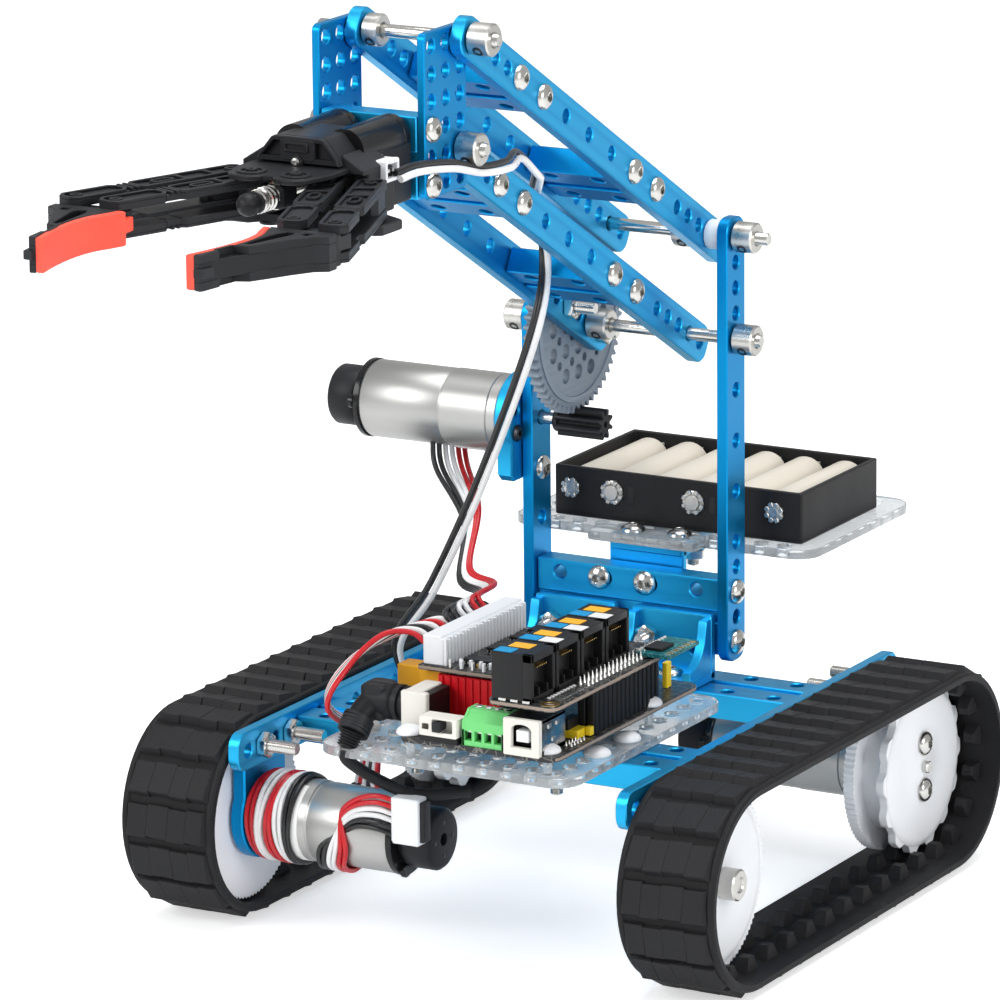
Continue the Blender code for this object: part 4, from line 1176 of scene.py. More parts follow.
def pin_row(shape, start, step, count, height, width):
    """Pointed solder joints in a row along local Y."""
    for i in range(count):
        rings = [(0, -0.3), (width * 1.3, -0.3), (width * 1.1, 0.2), (width * 0.55, height * 0.55),
                 (width * 0.3, height), (0, height + 0.15)]
        shape.lathe(rings, SOLDER, at(Vector(start) + Vector((0, step * i, 0)), Z), 10)


def clear_tray(tray, place, size, thick, start, stop, x_rim, y_rim):
    """A clear plate with round corners and rows of holes near its edges."""
    width, depth = size
    holes = []
    for x in every(start[0], width - stop[0], PITCH):
        for y in every(start[1], depth - stop[1], PITCH):
            if min(x, width - x) < x_rim or min(y, depth - y) < y_rim:
                holes.append(circle(TRAY_HOLE_R, (x, y), 14))
    tray.plate(rounded(0, width, 0, depth, 8), 0, thick, holes, place=place, edge=0.25)


class Placed:
    """A piece with a placement on which its blocks stand, above a base height."""

    def __init__(self, shape, place, base):
        self.shape = shape
        self.spot = place
        self.base = base

    def block(self, x0, x1, y0, y1, z0, z1, material, radius, edge):
        """A block between two corners."""
        low_end, high_end = (x0, y0, z0 + self.base), (x1, y1, z1 + self.base)
        self.shape.block(low_end, high_end, material, self.spot, radius, edge)

    def blocks(self, rows):
        """Several blocks."""
        for row in rows:
            self.block(*row)


def controller():
    """Clear tray with rows of holes, and the controller board with its sockets on nylon posts."""
    node = "controller_tray"
    lowest, highest = low(node), high(node)
    width, depth, thick = highest - lowest
    tray = Shape("clear_front_tray", ACRYLIC)
    place = at(lowest, Z, X)
    margin = (7.5, 6.5)
    clear_tray(tray, place, (width, depth), thick, margin, margin, 2 * PITCH, 2 * PITCH)
    for x, y in ((width - 5.9, 28.3), (width - 5.5, 46.5), (5.5, 22.5), (5.5, 70.5)):
        dome(tray, place @ Vector((x, y, thick)))
    tray.place("root", node)

    node = "controller_board"
    corner = Vector((low("driver_board").x + 6, low("driver_board").y, highest.z + 5.3))
    width, depth, top = 53.5, 92.0, BOARD_THICK
    place = at(corner, Z, X)
    piece = Shape("controller_circuit", BOARD)
    posts = ((2.2, 4.5), (47.9, 5.6), (50.4, 64.2), (3.5, 88))
    bores = [circle(1.5, post, 14) for post in posts]
    piece.plate(rounded(0, width, 0, depth, 4), 0, top, bores, place=place, edge=0.1)
    core = rounded(0.05, width - 0.05, 0.05, depth - 0.05, 4)
    piece.plate(core, 0.35, top - 0.35, (), BOARD_EDGE, place @ Matrix.Scale(1.0015, 4), 0.02)
    for x, y in posts:
        piece.lathe([(0, -5.2), (1.4, -5.2), (1.4, 0), (0, 0)], ACRYLIC, place @ at((x, y, 0), Z), 16)
        dome(piece, place @ Vector((x, y, top)))
    front = at(place @ Vector((0, 0, top)), -Y, X)

    def face(outline, base, height, holes=(), material=CREAM):
        piece.plate(outline, base, height, holes, material, front, 0.15)

    on_board = Placed(piece, place, top)
    blocks = on_board.blocks
    # data socket with its steel shell
    arch = [(39.6, 2.2), (46.4, 2.2), (46.4, 7.6)]
    arch += [(43 + 3.4 * a, 7.6 + 1.8 * b) for a, b in arc(1, 10, 170, 8)] + [(39.6, 7.6)]
    face(rounded(37, 49, -0.2, 11, 0.5), -0.4, 1.4, [arch])
    face(rounded(41, 45.2, 3.9, 7.4, 0.3), -3, 0.6, material=WHITE)
    face(rounded(39.4, 46.6, 2, 9.6, 0.4), -4, -3, material=CHIP)
    for x0, x1, y0, z0, z1 in ((37.1, 49, 0.3, -0.2, 1.6), (37.1, 49, 0.3, 9.6, 10.9),
                               (37.1, 38.2, 0.3, 0, 10.8), (47.9, 49, 0.3, 0, 10.8),
                               (37.2, 48.9, 13.8, 0, 10.8)):
        on_board.block(x0, x1, y0, 15, z0, z1, STEEL, 0.4, 0.15)
    for y, z in ((4, 7.6), (9, 7.6), (6.5, 3.2)):
        on_board.block(48.9, 49.3, y, y + 2, z, z + 1.2, SOLDER, 0.2, 0.1)

    # screw terminal
    left = 22.0
    side = at(place @ Vector((left, 0, top)), X, Y)
    cheek = [(0.5, -0.1), (10.5, -0.1), (10.5, 9.4), (9.4, 10.5), (4.4, 10.5), (0.9, 7.4), (0.5, 5)]
    body = [(3.4, -0.1), (10.4, -0.1), (10.4, 9.3), (9.3, 10.3), (4.5, 10.3), (3.4, 9.4)]
    upper = [(0.6, 4.6), (3.6, 4.6), (4.6, 10.3), (1, 7.3)]
    for outline, x0, x1 in ((cheek, 0, 0.9), (cheek, 13.3, 14.2), (body, 0.5, 13.7), (upper, 0.5, 13.7)):
        piece.plate(outline, x0, x1, material=TERMINAL, place=side, edge=0.1)
    for i in range(5):
        x = left + 3.32 * i
        on_board.block(x, x + 0.9, 0.5, 4, 0, 5, TERMINAL, 0.1, 0.05)
    for i in range(4):
        x = left + 0.9 + 3.32 * i
        blocks(((x, x + 2.5, 0.5, 4, 0, 1.6, TERMINAL, 0.1, 0.05),
                (x + 0.3, x + 2.2, 2.6, 3.6, 1.8, 4.6, CHIP, 0.1, 0.05),
                (x + 0.2, x + 2.3, 1.6, 3.6, 3.9, 4.6, SOLDER, 0.1, 0.05)))
        head = place @ at((x + 1.25, 7.2, top + 9.7), Z)
        piece.lathe([(0, 0), (1.3, 0), (1.3, 0.9), (1, 1.1), (0, 1.1)], STEEL, head, 16)

    # slide switch round its knob
    mid = middle("power_switch_knob").x - corner.x
    on_board.block(mid - 6.3, mid + 6.3, -0.4, 6, -0.2, 1.9, CHIP, 0.4, 0.15)
    slot = rounded(mid - 1.9, mid + 4.9, 3.1, 6.9, 0.6)
    window = rounded(mid - 5.4, mid - 3.1, 3.6, 5.4, 0.3)
    face(rounded(mid - 6.3, mid + 6.3, 1.7, 7.4, 0.4), 0.2, 0.7, [slot, window])
    face(rounded(mid - 6.2, mid + 6.2, 1.8, 7.3, 0.4), -5.8, -2.6)
    on_board.block(mid - 6.3, mid + 6.3, -0.2, 5.8, 6.9, 7.4, CREAM, 0.4, 0.15)
    for x in (mid - 6.3, mid + 5.8):
        on_board.block(x, x + 0.5, -0.2, 5.8, 1.8, 7.3, CREAM, 0.2, 0.1)

    # power jack, then the red header
    blocks(((-3.5, 2.4, 9.6, 24, -0.2, 11, CREAM, 0.8, 0.3),
            (2.2, 5.1, 9.4, 23.6, -0.2, 10.4, CHIP, 0.5, 0.2),
            (-3.7, 5.2, 9, 11.2, -0.2, 11.2, CREAM, 0.6, 0.3),
            (0, 21, 25.2, 27.6, -0.1, 12.8, RED, 0.2, 0.1)))
    for i in range(8):
        x = 0.4 + HEADER_PITCH * i
        on_board.block(x, x + 1.5, 24.7, 25.4, 0.2, 12.6, RED, 0.2, 0.1)
    # black and yellow headers and the shield in the middle
    blocks(((46.4, 48.9, 27, 68, 0, 13.2, CHIP, 0.2, 0.1), (49.6, 51.9, 27, 68, 0, 13.2, CHIP, 0.2, 0.1)))
    for i in range(15):
        on_board.block(51.8, 52.2, 27.8 + 2.7 * i, 29.2 + 2.7 * i, 0.3, 12.9, CHIP, 0.15, 0.05)
    blocks(((50, 51.8, 25, 30, 0.4, 3, YELLOW, 0.3, 0.1),
            (44.5, 49.9, 20.5, 26.5, 0.2, 2.8, YELLOW, 0.3, 0.1),
            (44.5, 47, 20.3, 26.7, 2.6, 6, CHIP, 0.3, 0.1), (45.5, 47.2, 82, 85, 0.2, 8, YELLOW, 0.3, 0.1),
            (1.5, 4, 30, 84, 0, 13.2, CHIP, 0.2, 0.1), (14, 30, 28, 40, 0, 1.8, CHIP, 0.3, 0.15)))
    chip(piece, corner + Vector((30, 16, top)), (9, 5, 1.6), 7)
    random.seed(11)
    for i in range(26):
        x, y = random.uniform(9, 45), random.uniform(15.5, 24)
        if not 22 < x < 36:
            on_board.block(x, x + 1.1, y, y + 0.6, 0, 0.6, random.choice((SOLDER, CREAM, CHIP)), 0.1, 0.05)
    for x in (49.6, 51.4):
        pin_row(piece, place @ Vector((x, 14, top)), 1.9, 5, 1.2, 0.4)
    piece.place("root", node)

    node = "power_switch_knob"
    lowest, highest = low(node), high(node)
    knob = Shape("switch_knob", BLACK)
    mid = middle(node).x
    for i in range(3):
        half, y = 1.4 - 0.06 * i, lowest.y + 0.1 + 0.75 * i
        knob.block((mid - half, y, lowest.z + 0.1), (mid + half, y + 0.55, highest.z - 0.1))
    knob.block((mid - 1.2, lowest.y + 0.3, lowest.z + 0.3), (mid + 1.2, highest.y - 0.1, highest.z - 0.3))
    knob.place("power_switch", node)


JACK_PITCH = 15.3


def driver_board():
    """The stepped upper board: jacks with plain labels, motor header, chips, pins and a small module."""
    node = "driver_board"
    lowest, highest = low(node), high(node)
    width, depth, tall = highest - lowest
    top = BOARD_THICK
    tall -= top
    place = at(lowest, Z, X)
    step_x, step_y = 36.5, 24.0
    near_corners = rounded(step_x, width, 0, 30, 3)[12:24]
    outline = [(0, step_y), (step_x, step_y)] + near_corners + [(width, depth), (0, depth)]
    piece = Shape("driver_circuit", BOARD)
    near, far = (width - 3.4, 3.6), (width - 3.4, depth - 4)
    piece.plate(outline, 0, top, [circle(1.6, near, 16), circle(1.6, far, 16)], place=place, edge=0.1)
    wider = [(a + (0.06 if a > 30 else -0.06), b + (0.06 if b > 40 else -0.06)) for a, b in outline]
    piece.plate(wider, 0.35, top - 0.35, material=BOARD_EDGE, place=place, edge=0.02)
    gilt, hole = ring(1.6, 2.9, near)
    piece.plate(gilt, top - 0.05, top + 0.12, hole, GOLD, place, 0.03)
    on_board = Placed(piece, place, top)
    blocks = on_board.blocks

    # modular jacks: each open in front, with gilt wires and labels on top
    x0, x1 = 38.0, 51.6
    mouth = x1 - 3.2
    for i in range(4):
        y = 0.8 + JACK_PITCH * i
        end = y + JACK_PITCH - 0.9
        on_board.block(x0, x1 - 3, y, end, 0, tall, CHIP, 0.4, 0.2)
        for y0, y1, z0, z1 in ((y, y + 1.5, 0, tall), (end - 1.5, end, 0, tall), (y, end, tall - 2.4, tall),
                               (y, end, 0, 1.6)):
            on_board.block(mouth, x1, y0, y1, z0, z1, CHIP, 0.3, 0.15)
        for y0 in (y + 4.4, end - 4.9):
            on_board.block(mouth, x1, y0, y0 + 0.5, 1.5, 4.2, CHIP, 0.15, 0.1)
        for k in range(6):
            wire_y = y + 4.4 + 1.1 * k
            on_board.block(mouth, x1 - 0.6, wire_y, wire_y + 0.35, tall - 4.6, tall - 4.3, GOLD, 0.1, 0.05)
        labels = [(x0 + 0.4, x0 + 6.4, y + 0.5, y + 5.4, CYAN), (x0 + 6.9, x1 - 0.5, y + 0.6, y + 5.6, LABEL),
                  (x0 + 2, x1 - 4.5, y + 6.6, y + 11.6, ORANGE)]
        for *field, tint in (labels if i else labels[::2]):
            on_board.block(*field, tall, tall + 0.15, tint, 0.2, 0.04)

    # long white motor header with its slots, and the orange blocks under it
    blocks(((1, 8, 25, 75, 0, 8.4, WHITE, 0.5, 0.3), (1, 7.2, 25, 75, 8, 9, WHITE, 0.4, 0.25)))
    for i in range(25):
        on_board.block(7.8, 8.9, 25.4 + 2 * i, 26.3 + 2 * i, 0, 7.8 if i % 2 else 8.2, WHITE, 0.2, 0.1)
    blocks(((-1.6, 8, 27, 36, -12, -1.9, ORANGE, 0.5, 0.3),
            (-9.5, -1.4, 27.5, 34.5, -11, -1.9, ORANGE, 0.5, 0.3)))
    chips = [(x, y, 9, 5, 1.8, 8) for y in (30, 44, 58) for x in (12, 24)]
    for x, y, *size, legs in chips + [(13, 67.5, 11, 6, 1.9, 10), (40, 64.5, 7, 5, 1.9, 6)]:
        chip(piece, lowest + Vector((x, y, top)), size, legs)
    random.seed(5)
    for i in range(70):
        x, y = random.uniform(9.6, 35.6), random.uniform(25, 74)
        kind = random.choice((SOLDER, CREAM, CREAM, GOLD, CHIP))
        on_board.block(x, x + 1.5, y, y + 0.8, 0, 0.9, kind, 0.15, 0.08)
    for i in range(7):
        blocks(((10 + 3.8 * i, 10.9 + 3.8 * i, 24.5, 25.6, 0, 2.6, WHITE if i % 2 else SOLDER, 0.2, 0.1),
                (12 + 3.4 * i, 13 + 3.4 * i, 27.2, 28.4, 0, 2.2, WHITE, 0.2, 0.1)))
    for x in (53.6, 56.2):
        pin_row(piece, place @ Vector((x, 26.5, top)), HEADER_PITCH, 18, 2.3, 0.75)
    for i in range(9):
        y = 8 + 1.9 * i
        blocks(((52.6, 53.6, y, y + 1, 0, 0.35, LABEL, 0.1, 0.05),
                (55.2, 57.4, y, y + 1, 0, 0.25, SOLDER, 0.1, 0.05)))
    for i in range(3):
        on_board.block(40.5 + 4 * i, 43 + 4 * i, 0.3, 1, 0, 0.8, SOLDER, 0.2, 0.1)
    piece.place("root", node)

    module = Shape("radio_module", BOARD_GREEN)
    place = at(lowest + Vector((54, 60, 2.2)), Z, X)
    module.plate(rounded(0, 11.5, 0, 20, 0.6), 0, 1.2, place=place, edge=0.1)
    blocks = Placed(module, place, 0).blocks
    blocks([(1.5, 7.5, 3, 11, 1.2, 2.2, CHIP, 0.2, 0.1)])
    for i in range(10):
        y = 1 + 1.8 * i
        blocks(((9.4, 11.2, y, y + 0.7, 1.15, 1.45, GOLD if i % 2 else SOLDER, 0.1, 0.05),
                (0.3, 1, y + 0.2, y + 1.2, 1.15, 1.7, CREAM, 0.1, 0.05)))
    for i in range(4):
        module.tube([place @ Vector((1.6, 1 + 2 * i, z)) for z in (0.4, -7.5)], 0.32, SOLDER)
    blocks([(0.2, 3.2, 0.2, 8.2, -14.5, -6.8, YELLOW, 0.3, 0.2)])
    module.place("root")


# ---------------------------------------------------------------- power

HOLDER_WALL = 1.7
CELLS = 6


def battery_tray():
    """Clear tray on its tongue, with the blue shelf angle that carries it."""
    node = "battery_tray"
    lowest, highest = low(node), high(node)
    slab = 3.0
    left = lowest.x + 5  # the CAD tray is a little wider than the real one
    width = highest.x - left
    front = low("battery_holder").y - 6.6
    depth = highest.y - front
    under = highest.z - slab
    tray = Shape("clear_rear_tray", ACRYLIC)
    clear_tray(tray, at((left, front, under), Z, X), (width, depth), slab, (7, 4.6), (7, 6), 14, 12)
    post = high("tower_beam").y
    tongue = at((-15, post - 4, under), Z, X)
    tray.plate(rounded(0, 38, 0, front - post + 8, 2), 0.02, slab - 0.02, place=tongue, edge=0.25)
    tray.screw((-1.2, post + 1.8, highest.z), Z)
    tray.screw((14.5, post + 2.9, highest.z), Z)
    shelf = rounded(-9, 17, post + 0.3, post + 24, 1)
    tray.plate(shelf, under - 3.2, under - 0.2, material=BLUE, edge=0.4)
    wall = at((4, post + 0.3, 0), -Y, X)
    wall_holes = [circle(HOLE_R, (a, lowest.z + 9)) for a in (-8, 8)]
    tray.plate(rounded(-13, 13, lowest.z, under - 0.6, 1), -3, -0.4, wall_holes, BLUE, wall, 0.4)
    for x in (-1.2, 14.5):
        tray.nut((x, post + 12, under - 3.2), -Z, 4.5)
    tray.place("root", node)


def battery_holder():
    """Open box with partitions, contact plates, and the contact rivets that show on its front."""
    node = "battery_holder"
    width, depth, height = high(node) - low(node)
    piece = Shape("cell_holder", HOLDER_BLACK)
    place = at(low(node), Z, X)
    rim = rounded(0, width, 0, depth, 0.9)
    inside = rounded(HOLDER_WALL, width - HOLDER_WALL, HOLDER_WALL, depth - HOLDER_WALL, 0.4)
    piece.plate(rim, 0, 1.5, place=place, edge=0.3)
    piece.plate(rim, 0.8, height, [inside], place=place, edge=0.25)
    pitch = (width - 2 * HOLDER_WALL) / CELLS
    for i in range(1, CELLS):
        x = HOLDER_WALL + pitch * i
        for y in (1.5, depth - 12):
            piece.block((x - 0.2, y, 1), (x + 0.2, y + 10.5, 5), None, place, 0.15, 0.1)
    for i in range(CELLS):
        x = HOLDER_WALL + pitch * (i + 0.5)
        for y, way in ((1.75, 1), (depth - 1.75, -1)):
            piece.block((x - 3.4, y, 3), (x + 3.4, y + way * 0.3, height - 3), SOLDER, place, 0.3, 0.1)
    face = at(low(node), -Y, X)
    for x, big in ((5.9, False), (20.6, True), (49.2, True), (77.5, False)):
        hub = at(face @ Vector((x, 9.2, 0)), -Y)
        rim = 3.7 if big else 2.9
        reach = 3.4 if big else 2.7
        boss = [(0.9, -0.4), (2.2, -0.4), (2.2, 0.5), (1.6, 0.8), (0.9, 0.7)]
        if big:
            boss = [(0, -0.5), (2.6, -0.5), (2.6, 0.6), (2.3, 1.2), (0, 1.3)]
        piece.lathe([(0.9, -0.4), (rim, -0.4), (rim, 0.2), (rim - 0.4, 0.4), (0.9, 0.3)], NICKEL, hub, 32)
        piece.lathe(boss, NICKEL, hub, 24 if big else 20)
        for k in range(8):
            petal = hub @ Matrix.Rotation(2 * math.pi * (k + 0.5) / 8, 4, "Z")
            piece.block((reach - 0.9, -0.75, -0.3), (reach + 0.6, 0.75, 0.9), NICKEL, petal, 0.4, 0.2)
    for x in (27.3, 55.9):
        slot = rounded(x - 1.1, x + 1.1, 6.2, 11.6, 0.4)
        piece.plate(slot, -0.1, 0.12, material=GLOSS_BLACK, place=face, edge=0.05)
    piece.place("root", node)


def cells():
    """The six cells, every other one turned round."""
    for i in range(CELLS):
        node = "battery_cell_%d" % (i + 1)
        lowest, highest, mid = low(node), high(node), middle(node)
        radius = (highest.z - lowest.z) / 2
        length = highest.y - lowest.y
        start, way = (highest.y, -Y) if i % 2 else (lowest.y, Y)
        axis = at((mid.x, start, mid.z), way, Z)
        cell = Shape("dry_cell_%d" % (i + 1), SLEEVE)
        body = [(0, 1), (radius - 0.9, 1), (radius - 0.2, 1.5), (radius, 2.4), (radius, length - 3),
                (radius - 0.25, length - 2.2), (radius - 1.1, length - 1.6), (0, length - 1.6)]
        cap = [(0, 0.2), (3.4, 0.2), (3.8, 0.5), (radius - 1.2, 0.9), (radius - 1, 1.3), (0, 1.3)]
        nub = [(0, length - 1.8), (2.9, length - 1.8), (2.7, length - 0.3), (2.3, length), (0, length)]
        for rings, tint, segments in ((body, SLEEVE, 40), (cap, STEEL, 32), (nub, STEEL, 28)):
            cell.lathe(rings, tint, axis, segments)
        cell.place("root", node)


# ---------------------------------------------------------------- cables


RIBBON = (WIRE_BLACK, WIRE_BLACK, WIRE_WHITE, WIRE_WHITE, WIRE_RED, WIRE_RED)
WRAPS = (WIRE_RED, WIRE_RED, WIRE_WHITE, WIRE_WHITE, WIRE_RED, WIRE_RED, WIRE_WHITE, WIRE_WHITE, WIRE_BLACK,
         WIRE_BLACK)


def wire(name, points, material, body, radius=WIRE_R):
    """A single insulated wire through some points."""
    piece = Shape(name, material)
    piece.tube(spline(points), radius, segments=10)
    return piece.place(body)


def from_point(start, *offsets):
    """The points at some offsets from a start."""
    return [start + Vector(offset) for offset in offsets]


def power_plug(corner):
    """The plug in the power jack, with its bent and ribbed relief and its lead."""
    plug = Shape("power_plug", BLACK)
    jack = Vector((low("controller_board").x, corner.y + 15.4, corner.z - 8.3))
    sleeve = [(0, -1), (4.9, -1), (5.3, 0.2), (5.3, 1.6), (4.7, 1.9), (4.7, 2.6), (5.5, 2.9), (5.5, 4.4),
              (4.9, 4.7), (4.9, 5.2), (5.6, 6), (5.6, 13), (5.2, 14.2), (0, 14.4)]
    plug.lathe(sleeve, place=at(jack, -X, Z), segments=32)
    plug.block(*from_point(jack, (-15.5, -5, -5.4), (-7, 5, 5.4)), None, None, 2.2, 0.8)
    bend = spline(from_point(jack, (-9, 0, 0), (-12.5, -2, -1), (-14.5, -6, -4.5), (-15, -9.5, -8.5)), 10)
    plug.tube(bend, [4.9 - 0.05 * i for i in range(len(bend))], segments=20)
    ribs = []
    radii = []
    first = len(bend) * 2 - 2
    for i in range(24):
        ribs.append(bend[-1].lerp(bend[-1] + Vector((-1, -2.5, -4.5)), i / 24))
        radii.append((3.9 if (first + i) % 4 < 2 else 3.2) - 0.9 * i / 24)
    plug.tube(ribs, radii, segments=20)
    for k in range(5):
        spot = bend[2 * k - 10]
        collar = [(3, -0.5), (4.9, -0.5), (4.9, 0.5), (3, 0.5)]
        plug.lathe(collar, place=at(spot, bend[2 * k - 9] - spot))
    tail = from_point(ribs[-1], (0, 0, 0), (0, 1, -4), (6, 9, -11.5), (17, 13, -15.5), (30, 22, -15))
    plug.tube(spline(tail, 10), 1.9, segments=12)
    plug.place("root")


def cables():
    """The plug, the leads of the left track motor and the arm motor, and the gripper's pair."""
    corner = low("driver_board")
    power_plug(corner)
    header = corner + Vector((1.4, 0, 7))
    motor_end = middle("drive_motor_left")
    motor_end.x = high("drive_motor_left").x - 8
    for i, tint in enumerate((WIRE_RED, WIRE_WHITE, WIRE_BLACK, WIRE_WHITE, WIRE_RED, WIRE_WHITE)):
        start = header + Vector((0, 27 + 3.6 * i, 0))
        swing = 2.2 * i
        path = from_point(start, (0, 0, 0), (-5, -1, 3.4), (-12, -6, 3 - 0.4 * i),
                          (-18.5 - 0.3 * swing, -14 - swing, -5), (-23 - 0.4 * swing, -20 - swing, -18))
        path += [Vector((corner.x - 24 - 1.2 * i, motor_end.y + 14 + i, corner.z - 30)),
                 Vector((corner.x - 20 - 1.4 * i, motor_end.y + 9, motor_end.z + 10 - 0.6 * i))]
        path += from_point(motor_end, (1.5 * i - 12, 4, 9.2))
        wire("track_motor_lead_%d" % (i + 1), path, tint, "root")
    motor_low, motor_y = low("arm_motor"), middle("arm_motor").y
    for i, tint in enumerate(RIBBON):
        start = header + Vector((0, 46 + 4 * i, 0))
        end = Vector((motor_low.x + 36.6 + 0.9 * i, motor_y - 5.6 + 2.3 * i, motor_low.z + 3))
        path = from_point(start, (0, 0, 0), (-5, 1, 5))
        path += from_point(Vector(), (0.5 * i - 23, 56 + 1.2 * i, 93.5 + 0.5 * i),
                           (0.3 * i - 36, 67 + 0.9 * i, 94 + 0.6 * i),
                           (0.6 * i - 45, 86 + 0.9 * i, 107 + 0.7 * i))
        path += from_point(end, (3, -3, -9), (0, 0, 0))
        wire("arm_motor_lead_%d" % (i + 1), path, tint, "root")
    track_motor_wraps(motor_end)
    gripper_leads(corner)


def track_motor_wraps(motor_end):
    """Leads wound round the gearbox, a ribbon over the can and the tall white socket that it enters."""
    start_x = low("drive_motor_left").x + 2.6
    for i, tint in enumerate(WRAPS):
        coil = []
        lean = 1.6 if i < 4 else 0.5
        for k in range(37):
            angle = 2 * math.pi * k / 36
            x = start_x + 1.45 * i + lean * math.cos(angle) + (0.5 if k else 0) * math.sin(2 * angle + i)
            coil.append(Vector((x, *turned(13.35 + 0.12 * (i % 3), angle, (motor_end.y, motor_end.z)))))
        piece = Shape("motor_wrap_%d" % (i + 1), tint)
        piece.tube(coil, 0.78)
        piece.place("root")
    socket = motor_end + Vector((-1.5, -14.6, 1.4))
    lug = Shape("wire_socket", WHITE)
    for near, far, tint, radius, edge in (
            ((0, 0, 0), (9, 5.6, 14.4), WHITE, 0.5, 0.3),
            ((-0.7, 0.8, 0.4), (0.4, 4.8, 14), WHITE, 0.3, 0.2),
            ((8.6, 1.2, 1), (10.4, 5.4, 13.4), BLACK, 0.4, 0.2)):
        lug.block(*from_point(socket, near, far), tint, None, radius, edge)
    for i in range(6):
        z = 1.2 + 2.15 * i
        lug.block(*from_point(socket, (-1, 1.6, z), (0.2, 3.2, z + 1.2)), SOLDER, None, 0.2, 0.1)
    lug.place("root")
    for i, tint in enumerate(RIBBON):
        start = socket + Vector((-0.4, 2.4, 1.8 + 2.15 * i))
        back = motor_end + Vector((1.7 * i - 27, 0, 0))
        path = from_point(start, (0, 0, 0), (-5.5, -1.2, 1.6 - 0.1 * i), (-13, -0.6, 1.2 - 0.5 * i),
                          (-19, 0.9, -2.6 - 0.9 * i))
        path += from_point(back, (0, -13.2, -3.4), (-2.5, -9.8, -10.2), (-4, 0, -13.6), (-4, 9.8, -9.8),
                           (-3, 13.6, 0), (-2, 9.8, 9.8))
        wire("ribbon_lead_%d" % (i + 1), path, tint, "root", 0.8)


def gripper_leads(corner):
    """The gripper's two wires, each in two fixed stretches: one past the wrist, the next past the shoulder.
    """
    front = pivot("gripper_level")
    plate = Vector((high("bracket_plate_right").x, front.y, front.z))
    socket = Vector((plate.x + 2.6, pivot("grip_open").y + 16.4, front.z + 0.4))
    held = []
    for share, x, drop in ((0.24, 23.4, 12.6), (0.33, 22.4, 11.9), (0.46, 10, 8), (0.61, 2, 1.2)):
        point = front - arm_direction() * share
        held.append(Vector((x, point.y, point.z + drop)))
    wrist = from_point(socket, (0, 0, 0), (1.2, 9, 0.6))
    wrist += from_point(plate, (4.2, -14, -1.4), (5, 2, -5.4), (3.6, 20, -7.2)) + held[:2]
    fixed = from_point(Vector((corner.x, 48, 0)), (-5, 0, 135), (-23, 0, 98), (-36, 0, 78), (-31, 0, 62))
    shoulder = held[1:] + [Vector((2, 46, 181))] + fixed
    for i, tint in enumerate((WIRE_BLACK, WIRE_WHITE)):
        aside = Vector((1.6, 0.4, -1.8)) * i
        for name, path, bodies, start, end in (
                ("gripper_lead_%d", wrist, ("gripper_base", "lower_arm"), wrist[2], wrist[4]),
                ("arm_lead_%d", shoulder, ("lower_arm", "root"), held[-1], fixed[1])):
            made = wire(name % (i + 1), [point + aside for point in path], tint, None, 1.05)
            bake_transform(made)


# ---------------------------------------------------------------- floor, light and camera


def seen(tree, strength, plain, extra):
    """Drive a strength: its plain value, and an extra part for what the camera sees directly."""
    rays = tree.nodes.new("ShaderNodeLightPath")
    total = tree.nodes.new("ShaderNodeMath")
    total.operation = "MULTIPLY_ADD"
    total.inputs[1].default_value = extra
    total.inputs[2].default_value = plain
    tree.links.new(rays.outputs["Is Camera Ray"], total.inputs[0])
    tree.links.new(total.outputs[0], strength)


def stage():
    """A plain pale floor."""
    mesh = bpy.data.meshes.new("floor")
    size = 30.0
    corners = [(-size, -size, 0), (size, -size, 0), (size, size, 0), (-size, size, 0)]
    mesh.from_pydata(corners, [], [(0, 1, 2, 3)])
    floor = bpy.data.objects.new("floor", mesh)
    bpy.context.scene.collection.objects.link(floor)
    pale = finish("pale_floor", (0.86, 0.87, 0.88), 0.7, broad=0.6, fine=40, shade=0.01, bump=0,
                  Emission_Color=(1, 1, 1, 1))
    seen(pale.node_tree, pale.node_tree.nodes["Principled BSDF"].inputs["Emission Strength"], 0.2, 0.34)
    mesh.materials.append(pale)


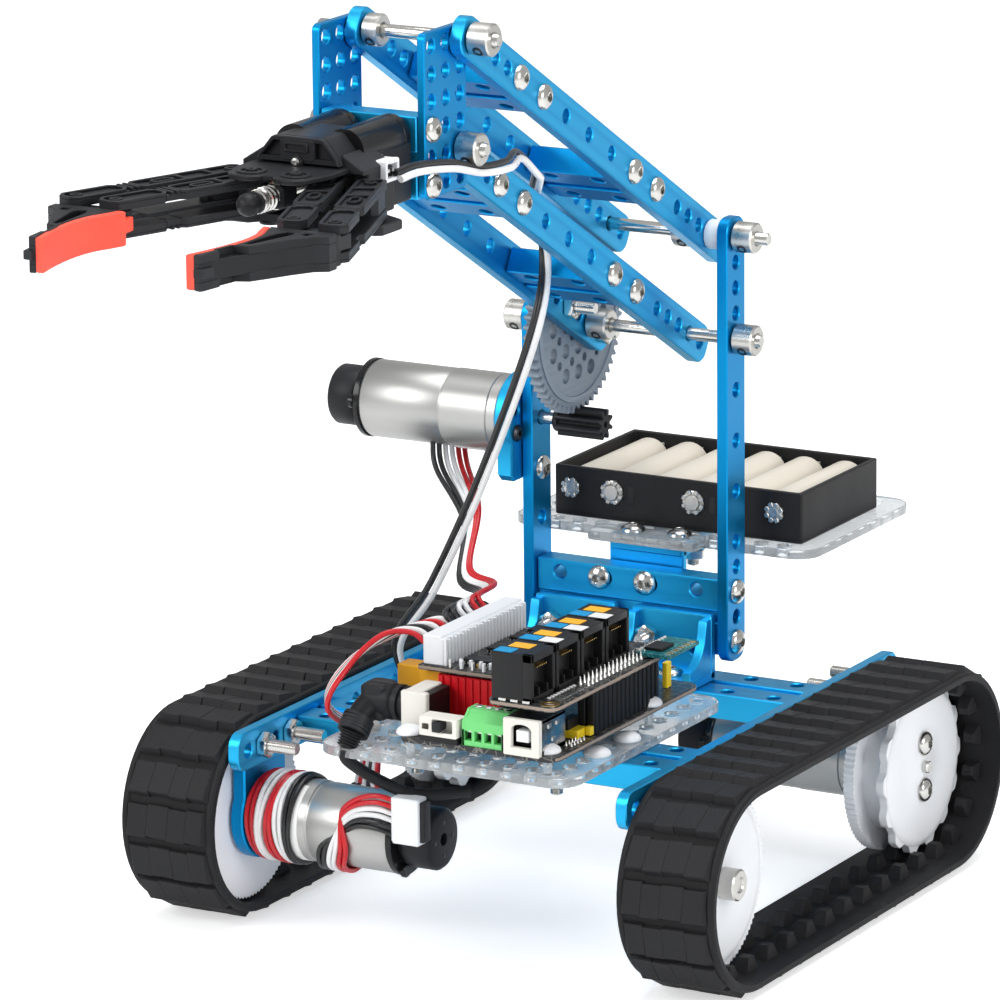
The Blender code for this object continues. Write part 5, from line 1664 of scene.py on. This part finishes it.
def lights():
    """A bright room, an overhead softbox, a key from the front left and a light from the right."""
    world = bpy.data.worlds.new("studio")
    bpy.context.scene.world = world
    world.use_nodes = True
    background = world.node_tree.nodes["Background"]
    background.inputs["Color"].default_value = (1, 1, 1, 1)
    seen(world.node_tree, background.inputs["Strength"], 0.5, 0.5)
    target = Vector((0, 0, 0.12))
    for name, place, size, power in (("overhead", (0.1, 0.1, 1.5), 1.1, 16),
                                     ("key", (-0.9, -1.3, 1), 0.9, 14),
                                     ("side", (1.5, -0.5, 0.7), 0.7, 9)):
        data = bpy.data.lights.new(name, "AREA")
        data.size = size
        data.energy = power
        lamp = bpy.data.objects.new(name, data)
        lamp.location = place
        lamp.rotation_euler = (target - Vector(place)).to_track_quat("-Z", "Y").to_euler()
        bpy.context.scene.collection.objects.link(lamp)
    bpy.context.scene.view_settings.view_transform = "Standard"


CAMERA_AZIMUTH = math.radians(29.39)
CAMERA_ELEVATION = math.radians(14.12)
CAMERA_ROLL = math.radians(-0.57)
CAMERA_PLACE = (0.9632, -1.6808, 0.6256)
CAMERA_LENS = 243.03


def camera():
    """A long lens at the height and turn that show the object as a product picture does."""
    level = math.cos(CAMERA_ELEVATION)
    right = Vector((math.cos(CAMERA_AZIMUTH), math.sin(CAMERA_AZIMUTH), 0))
    back = Vector((right.y * level, -right.x * level, math.sin(CAMERA_ELEVATION)))
    up = back.cross(right)
    turned_right = right * math.cos(CAMERA_ROLL) + up * math.sin(CAMERA_ROLL)
    turned_up = up * math.cos(CAMERA_ROLL) - right * math.sin(CAMERA_ROLL)
    data = bpy.data.cameras.new("camera")
    data.lens = CAMERA_LENS
    data.sensor_width = 36
    data.clip_end = 60
    view = bpy.data.objects.new("camera", data)
    matrix = Matrix((turned_right, turned_up, back)).transposed().to_4x4()
    matrix.translation = CAMERA_PLACE
    view.matrix_world = matrix
    bpy.context.scene.collection.objects.link(view)
    bpy.context.scene.camera = view


def build():
    """Every piece, then the stage."""
    for step in (chassis, undercarriage, tower, pivot_rods, arm, arm_drive, gripper, controller, driver_board,
                 battery_tray, battery_holder, cells, cables, stage, lights, camera):
        step()


build()
